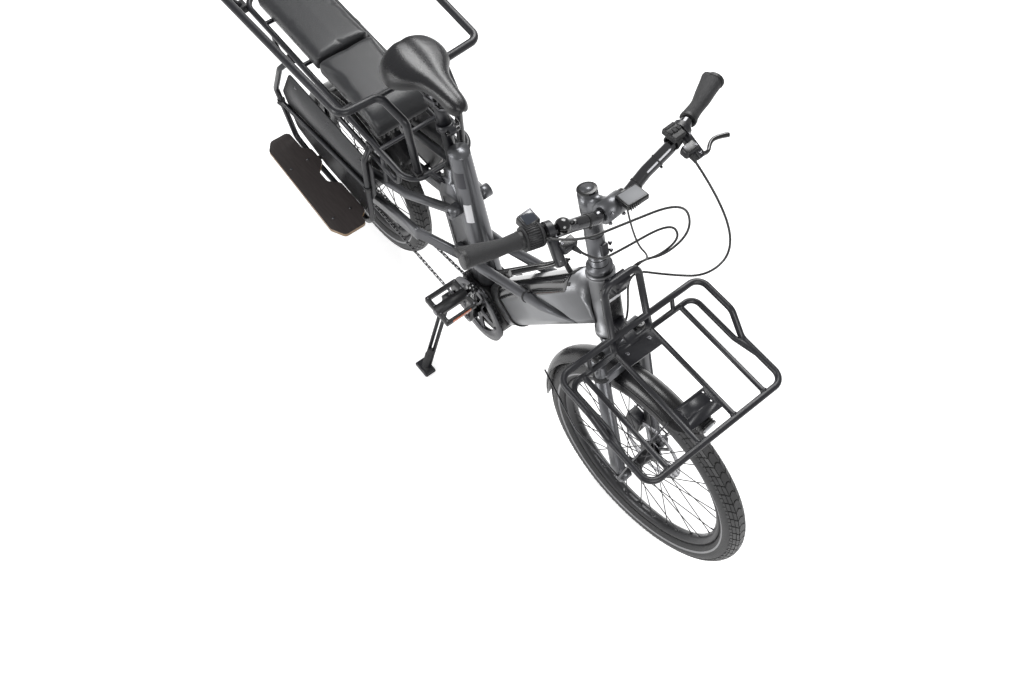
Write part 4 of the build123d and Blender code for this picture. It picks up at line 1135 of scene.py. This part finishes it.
def stem_details():
    """Round top cap with its bolt, clamp screws, clamp lug and spacer lines."""
    cap = [(0, 20.5), (2, 21), (4.5, 20.5), (5.6, 17.5), (5.2, 9), (4.2, 8.6), (4.2, 1)]
    Build().lathe(on_steer(1062), STEER_DIR, cap, 48).done("stem_cap", SMOOTH_PLASTIC, "steering",
                                                           slot="frame_paint")
    screws, lines = Build(), Build()
    for side in (-18, 18):
        for rise in (-14, 14):
            screws.bolt(P(BAR_X + 19, side, BAR_Z + rise), (1, 0, 0.15), 3.2, 3.4)
    for height in (1026, 1046):
        screws.bolt(on_steer(height, -18, -6), -STEER_FWD, 3.2, 4)
    for height in (920, 938):
        screws.bolt(on_steer(height, 25, 14), LEFT, 3.6, 5)
    screws.done("stem_screws", BOLT, "steering")
    lug = Build().block(on_steer(929, 21, 2), (30, 18, 12), 4, STEER_DIR, STEER_FWD)
    lug.done("stem_clamp_lug", POWDER, "steering")
    for height in (886, 902, 960, 1014):
        lines.band(on_steer(height), STEER_DIR, 2.4, 19.6, 20.6, 0.4, 40)
    lines.done("spacer_lines", SEAM, "steering")


front_fender()
fork_details()
brake_details()
stem_details()


# ---- handlebar controls ----
def grip_section(centre, t):
    """Section of a grip at a share t of its length, with its palm rest behind."""
    r = 16.2 + 1.4 * cos(3.4 * pi * t) * (1 - t) + 1.6 * t ** 2
    r *= 1 - 0.22 * max(0, (t - 0.95) / 0.05) ** 2
    rest = 15 * max(0.0, (t - 0.3) / 0.7) ** 1.3 * (1 - 0.35 * max(0, (t - 0.9) / 0.1))
    return [centre + mm(cos(a) * (r + rest * max(0.0, -cos(a)) ** 3), 0, sin(a) * r)
            for a in turns(28)]


def grip_pieces():
    """Rubber grips that flare outward to a palm rest, with lock rings and end plugs."""
    grips, rings = Build(), Build()
    for side in SIDES:
        inner, outer = bar_at(side * (GRIP_END - 108)), bar_at(side * GRIP_END)
        along = (outer - inner).normalized()
        grips.rings([grip_section(inner.lerp(outer, i / 34), i / 34) for i in range(35)])
        for t, r in ((0.01, 17.8), (0.985, 18.4)):
            rings.band(inner.lerp(outer, t) - along * 0.004, along, 7.8, r - 1, r, 0.6)
        rings.lathe(outer, along, [(0, 15), (1.6, 14.4), (2.2, 8), (2.2, 1)], 28)
    grips.done("grip_rubbers", GRIP, "steering", replaces=("grips",), angle=60)
    rings.done("grip_rings", PLASTIC, "steering")


def shifter_details():
    """Ribs round the twist barrel, and the window's frame with its blank glass."""
    inner, outer = bar_at(-178), bar_at(-213)
    along = (outer - inner).normalized()
    u = along.orthogonal().normalized()
    v = along.cross(u)
    ribs = Build()
    for a in turns(30):
        out = u * cos(a) + v * sin(a)
        ribs.block(inner.lerp(outer, 0.56) + out * 0.0222, (24, 2.2, 2), 0.7, along, out)
    ribs.band(inner.lerp(outer, 0.06), along, 4.6, 22, 23.2, 0.6, 36)
    ribs.band(inner.lerp(outer, 0.93), along, 3.2, 22, 23, 0.6, 36).done("shifter_ribs", GRIP, "steering")
    for name, mat, at, size, edge in (("frame", DARK_STEEL, P(845, -182, 1156.8), (29, 31, 3.4), 1.5),
                                      ("window", WINDOW, P(845.2, -182, 1158), (22, 25, 3), 1.3)):
        plate = Build().block(at, size, edge, (0.97, 0, -0.2), (0.2, 0, 0.97))
        plate.done("shifter_" + name, mat, "steering")


def bar_clamp(build, start, along, width, r):
    """Clamp round the bar with bevelled edges."""
    edges = [(0, 13.2), (0, r - 1), (1, r), (width - 1, r), (width, r - 1), (width, 13.2)]
    build.lathe(start, along, edges, 36)


def lever_details():
    """Brake levers: clamps, bodies, reservoirs with lids, flattened blades, screws and hose boots."""
    bodies, blades, lids, screws, boots = Build(), Build(), Build(), Build(), Build()
    right = [P(924, -176, 1102), P(918, -190, 1097), P(900, -222, 1100), P(888, -262, 1110)]
    left = [P(922, 190, 1114), P(932, 210, 1108), P(915, 232, 1110), P(914, 252, 1111), P(926, 275, 1111)]
    for y, side, line in ((-164, -1, right), (190, 1, left)):
        along = (bar_at(y + side) - bar_at(y)).normalized()
        bar_clamp(bodies, bar_at(y) - along * 0.007, along, 14, 19)
        root, end = bar_at(y) + mm(8, 0, -6), line[0] + mm(4, 0, 0)
        bodies.block((root + end) / 2, ((end - root).length * 1000 + 12, 20, 18), 5, end - root)
        tank = bar_at(y) + mm(38, -side * 14, -14)
        bodies.block(tank, (22, 34, 20), 6)
        blades.tube(smooth_line(line, 40), lambda t: (6.2 - 1.2 * sin(3 * t), 4.2 + 1.4 * t ** 3), 14)
        lids.block(tank + mm(0, 0, 9.6), (19, 29, 3), 1.2)
        for shift in SIDES:
            screws.bolt(tank + mm(4 * shift, 11 * shift, 11), UP, 1.8, 0.8)
        screws.bolt(bar_at(y) + mm(19, 0, 4), (1, 0, 0.2), 3, 4)
        screws.bolt(end + mm(-2, 0, 8), UP, 3.6, 2)
        boot = [(0, 5.4), (3, 5.2), (10, 3.8), (16, 3.2)]
        boots.lathe(tank + mm(11, -side * 6, -2), (0.94, -side * 0.2, -0.1), boot, 16)
    bodies.done("lever_bodies", POWDER, "steering", slot="gloss_black", replaces=("brake_levers",))
    blades.done("lever_blades", GLOSS, "steering")
    lids.done("reservoir_lids", SMOOTH_PLASTIC, "steering")
    screws.done("lever_screws", BOLT, "steering")
    boots.done("hose_boots", GRIP, "steering")


def bell():
    """Domed bell on its clamp, with a thumb striker."""
    base, up = P(BAR_X - 1, -136, BAR_Z + 56), Vector((0.24, 0, 0.97))
    dome = [(0, 7.6), (6, 7.2), (7, 14.2), (9, 15.4), (14, 15.2), (19, 13.4), (23, 9.6), (25, 4.6),
            (25.6, 0.5)]
    b = Build().lathe(base - up * 0.001, up, dome, 40)
    b.tube([base + mm(8, 12, 8), base + mm(14, 18, 12), base + mm(12, 19, 20)], 2.6, 10, bend=5)
    b.done("bell_dome", GLOSS, "steering", replaces=("bell",), angle=50)


def remote_details():
    """Three rounded buttons on the pad, and a ridge behind them."""
    root = bar_at(160)
    b = Build()
    for i, size in ((-1, (9, 8, 3.4)), (0, (11, 10, 3.4)), (1, (9, 8, 3.4))):
        b.block(root + mm(-4 + 0.4 * i, 10 * i, 27), size, 1.3)
    b.block(root + mm(-16, 0, 26.4), (5, 24, 2.6), 1).done("remote_buttons", GRIP, "steering")


def display_details():
    """Display facing the rider: ribbed case, clamp and blank glass."""
    up, along = Vector((-0.2, 0, 0.98)), Vector((0.98, -0.1, 0.2))
    at = P(BAR_X + 20, 30, BAR_Z + 30)
    case = Build().block(at - up * 0.003, (40, 52, 13), 3, along, up)
    for i in range(-4, 5):
        rib = at - up * 0.004 + along * 0.0201 + LEFT * (0.005 * i)
        case.block(rib, (1.6, 2.6, 9), 0.5, along, up)
    case.block(P(BAR_X + 9, 32, BAR_Z + 19), (14, 13, 16), 2, along, up)
    bar_clamp(case, P(BAR_X, 27, BAR_Z), LEFT, 12, 19.5)
    case.done("display_case", SMOOTH_PLASTIC, "steering", replaces=("display",))
    Build().block(at + up * 0.0034, (32, 44, 1.4), 0.6, along, up).done("display_glass", SCREEN, "steering")


def bar_ties():
    """Cable ties round the bar, between the stem and the controls."""
    ties = Build()
    bends = [(885, 40, 1072), (878, 96, 1094), (882, 150, 1128)]
    for side, y, (start, end) in ((1, 70, bends[:2]), (1, 122, bends[1:]), (-1, 64, bends[:2])):
        start, end = (P(x, side * across, z) for x, across, z in (start, end))
        d = (end - start).normalized()
        p = start.lerp(end, (side * y / 1000 - start.y) / (end.y - start.y))
        ties.band(p - d * 0.0025, d, 4, 12.8, 14.1, 0.3)
        ties.block(p + mm(12.5, 0, -8), (5, 5, 6), 1, d, FORWARD)
    ties.done("cable_ties", PLASTIC, "steering")


grip_pieces()
shifter_details()
lever_details()
bell()
remote_details()
display_details()
bar_ties()


# ---- front rack ----
def rack_details():
    """Weld collars where the rack's tubes meet, bracket bolts and the drilled plate's screws."""
    collars, bolts = Build(), Build()
    for y in (-138, -50, 50, 138):
        for x, r in ((1024, 6.4), (1277, 6.6)):
            collars.band(P(x - 4, y, 745), FORWARD, 9, r - 0.4, r + 1.3, 3, 18)
    for y in (-118, 118):
        collars.lathe(P(1006, y, 779), UP, [(-7, 5), (-3, 6.6), (0, 7)], 18)
    collars.done("rack_welds", POWDER)
    for y in (-12, 12):
        for height in (848, 830):
            bolts.bolt(on_steer(height, 34, y), STEER_FWD, 3.6, 3.4)
        bolts.bolt(P(1040, y * 2.6, 748), UP, 3.4, 2.4)
    bolts.done("rack_bolts", BOLT)


def headlight_details():
    """Clear lens in a black bezel, and cooling fins along the body."""
    front = 1262
    lens = [(0, 15.6), (2, 15.4), (4, 13), (5.2, 8), (5.6, 1)]
    Build().lathe(P(front - 1, 0, 720), FORWARD, lens, 36).done("headlight_lens", LENS)
    bezel = [(0, 17.6), (0.6, 20.6), (5.4, 20.6), (6.2, 17), (5, 15.2), (2, 15)]
    b = Build().lathe(P(front - 4, 0, 720), FORWARD, bezel, 40)
    for i in range(6):
        b.band(P(1227 + 5.2 * i, 0, 720), FORWARD, 2.4, 17.5, 20.6, 0.4, 36)
    b.done("headlight_body", SMOOTH_PLASTIC)


rack_details()
headlight_details()

# ---- CAD nodes that keep their shape ----
for mat, kept in (
        # The head and down tubes take the lighter copy of the paint, a painted highlight.
        (PAINT_WITH_HIGHLIGHT, "head_tube down_tube"),
        (PAINT, "seat_tube mixte_stays chainstays rack_stays fork stem"),
        (POWDER, "rear_rack safety_rail side_rails front_rack seat_post post_clamp rear_caliper "
                 "stand_bracket front_caliper stand"),
        (DARK_STEEL, "rear_axle front_axle saddle_rails fender_stays rear_sprocket chainring"),
        (PLASTIC, "drive_unit headlight shifter remote pedal_left pedal_right"),
        (STEEL, "front_rotor rear_rotor"), (RIM, "front_rim rear_rim"), (GLOSS, "crank_arms"),
        (GUARD, "wheel_guards"), (SMOOTH_PLASTIC, "rear_fender"), (RED, "rear_light"), (BAR, "handlebar")):
    for node in kept.split():
        paint(node, mat)


# ---- stage, light and camera ----
FLOOR_SEEN, FLOOR_MIRRORED = 0.6, 0.55    # how white the floor is to the camera and in reflections
STUDIO, STUDIO_MIRRORED = 0.2, 0.45       # the studio's glow on the object, and in its reflections
LAMPS = {"key": ((-1.4, 1.8, 3.2), 2.2, 120), "fill": ((2.6, -0.6, 2.6), 1.6, 42),
         "side": ((-0.8, -3.0, 2.0), 1.6, 60)}      # place and diameter in metres, power in watts
AIM = Vector((0, 0, 0.5))


def glow(tree, base, seen, mirrored):
    """Strength with more of it for the camera's own rays, and more in reflections."""
    path = add_node(tree, "LightPath").outputs
    camera = maths(tree, "MULTIPLY_ADD", path["Is Camera Ray"], seen, base)
    return maths(tree, "MULTIPLY_ADD", path["Is Glossy Ray"], mirrored, camera)


def stage():
    m = bpy.data.materials.new("white_floor")
    m.use_nodes = True
    tree = m.node_tree
    paper = tree.nodes["Principled BSDF"]
    paper.inputs["Base Color"].default_value = (0.86, 0.86, 0.86, 1)
    paper.inputs["Roughness"].default_value = 0.6
    strength = glow(tree, 0.0, FLOOR_SEEN, FLOOR_MIRRORED)
    light = add_node(tree, "Emission", {"Color": (1, 1, 1, 1), "Strength": strength})
    both = add_node(tree, "AddShader", {0: paper.outputs[0], 1: light.outputs[0]})
    tree.links.new(both.outputs[0], tree.nodes["Material Output"].inputs["Surface"])
    add_mesh("floor", [(-14, -14, 0), (14, -14, 0), (14, 14, 0), (-14, 14, 0)], [(0, 1, 2, 3)], m)


def lights():
    world = bpy.data.worlds.new("studio")
    bpy.context.scene.world = world
    world.use_nodes = True
    tree = world.node_tree
    back = tree.nodes["Background"].inputs
    back["Color"].default_value = (1, 1, 1, 1)
    tree.links.new(glow(tree, STUDIO, 1 - STUDIO, STUDIO_MIRRORED - STUDIO), back["Strength"])
    for name, (where, size, power) in LAMPS.items():
        data = bpy.data.lights.new(name, "AREA")
        data.shape, data.size, data.energy = "DISK", size, power
        lamp = add_object(name, data)
        lamp.location = where
        lamp.rotation_mode = "QUATERNION"
        lamp.rotation_quaternion = (AIM - Vector(where)).to_track_quat("-Z", "Y")


def camera():
    yaw, pitch, roll = (radians(a) for a in (137.14, 62.08, 4.65))
    fwd = Vector((cos(yaw) * cos(pitch), sin(yaw) * cos(pitch), -sin(pitch)))
    flat = Vector((sin(yaw), -cos(yaw), 0))
    rise = flat.cross(fwd)
    right = flat * cos(roll) + rise * sin(roll)
    up = rise * cos(roll) - flat * sin(roll)
    data = bpy.data.cameras.new("camera")
    data.sensor_width, data.lens = 36, 34.8890625
    cam = add_object("camera", data)
    cam.matrix_world = (Matrix.Translation(P(1587.1, -873, 2598.6))
                        @ Matrix((right, up, -fwd)).transposed().to_4x4())
    bpy.context.scene.camera = cam


stage()
lights()
camera()
bpy.context.scene.view_settings.view_transform = "Standard"
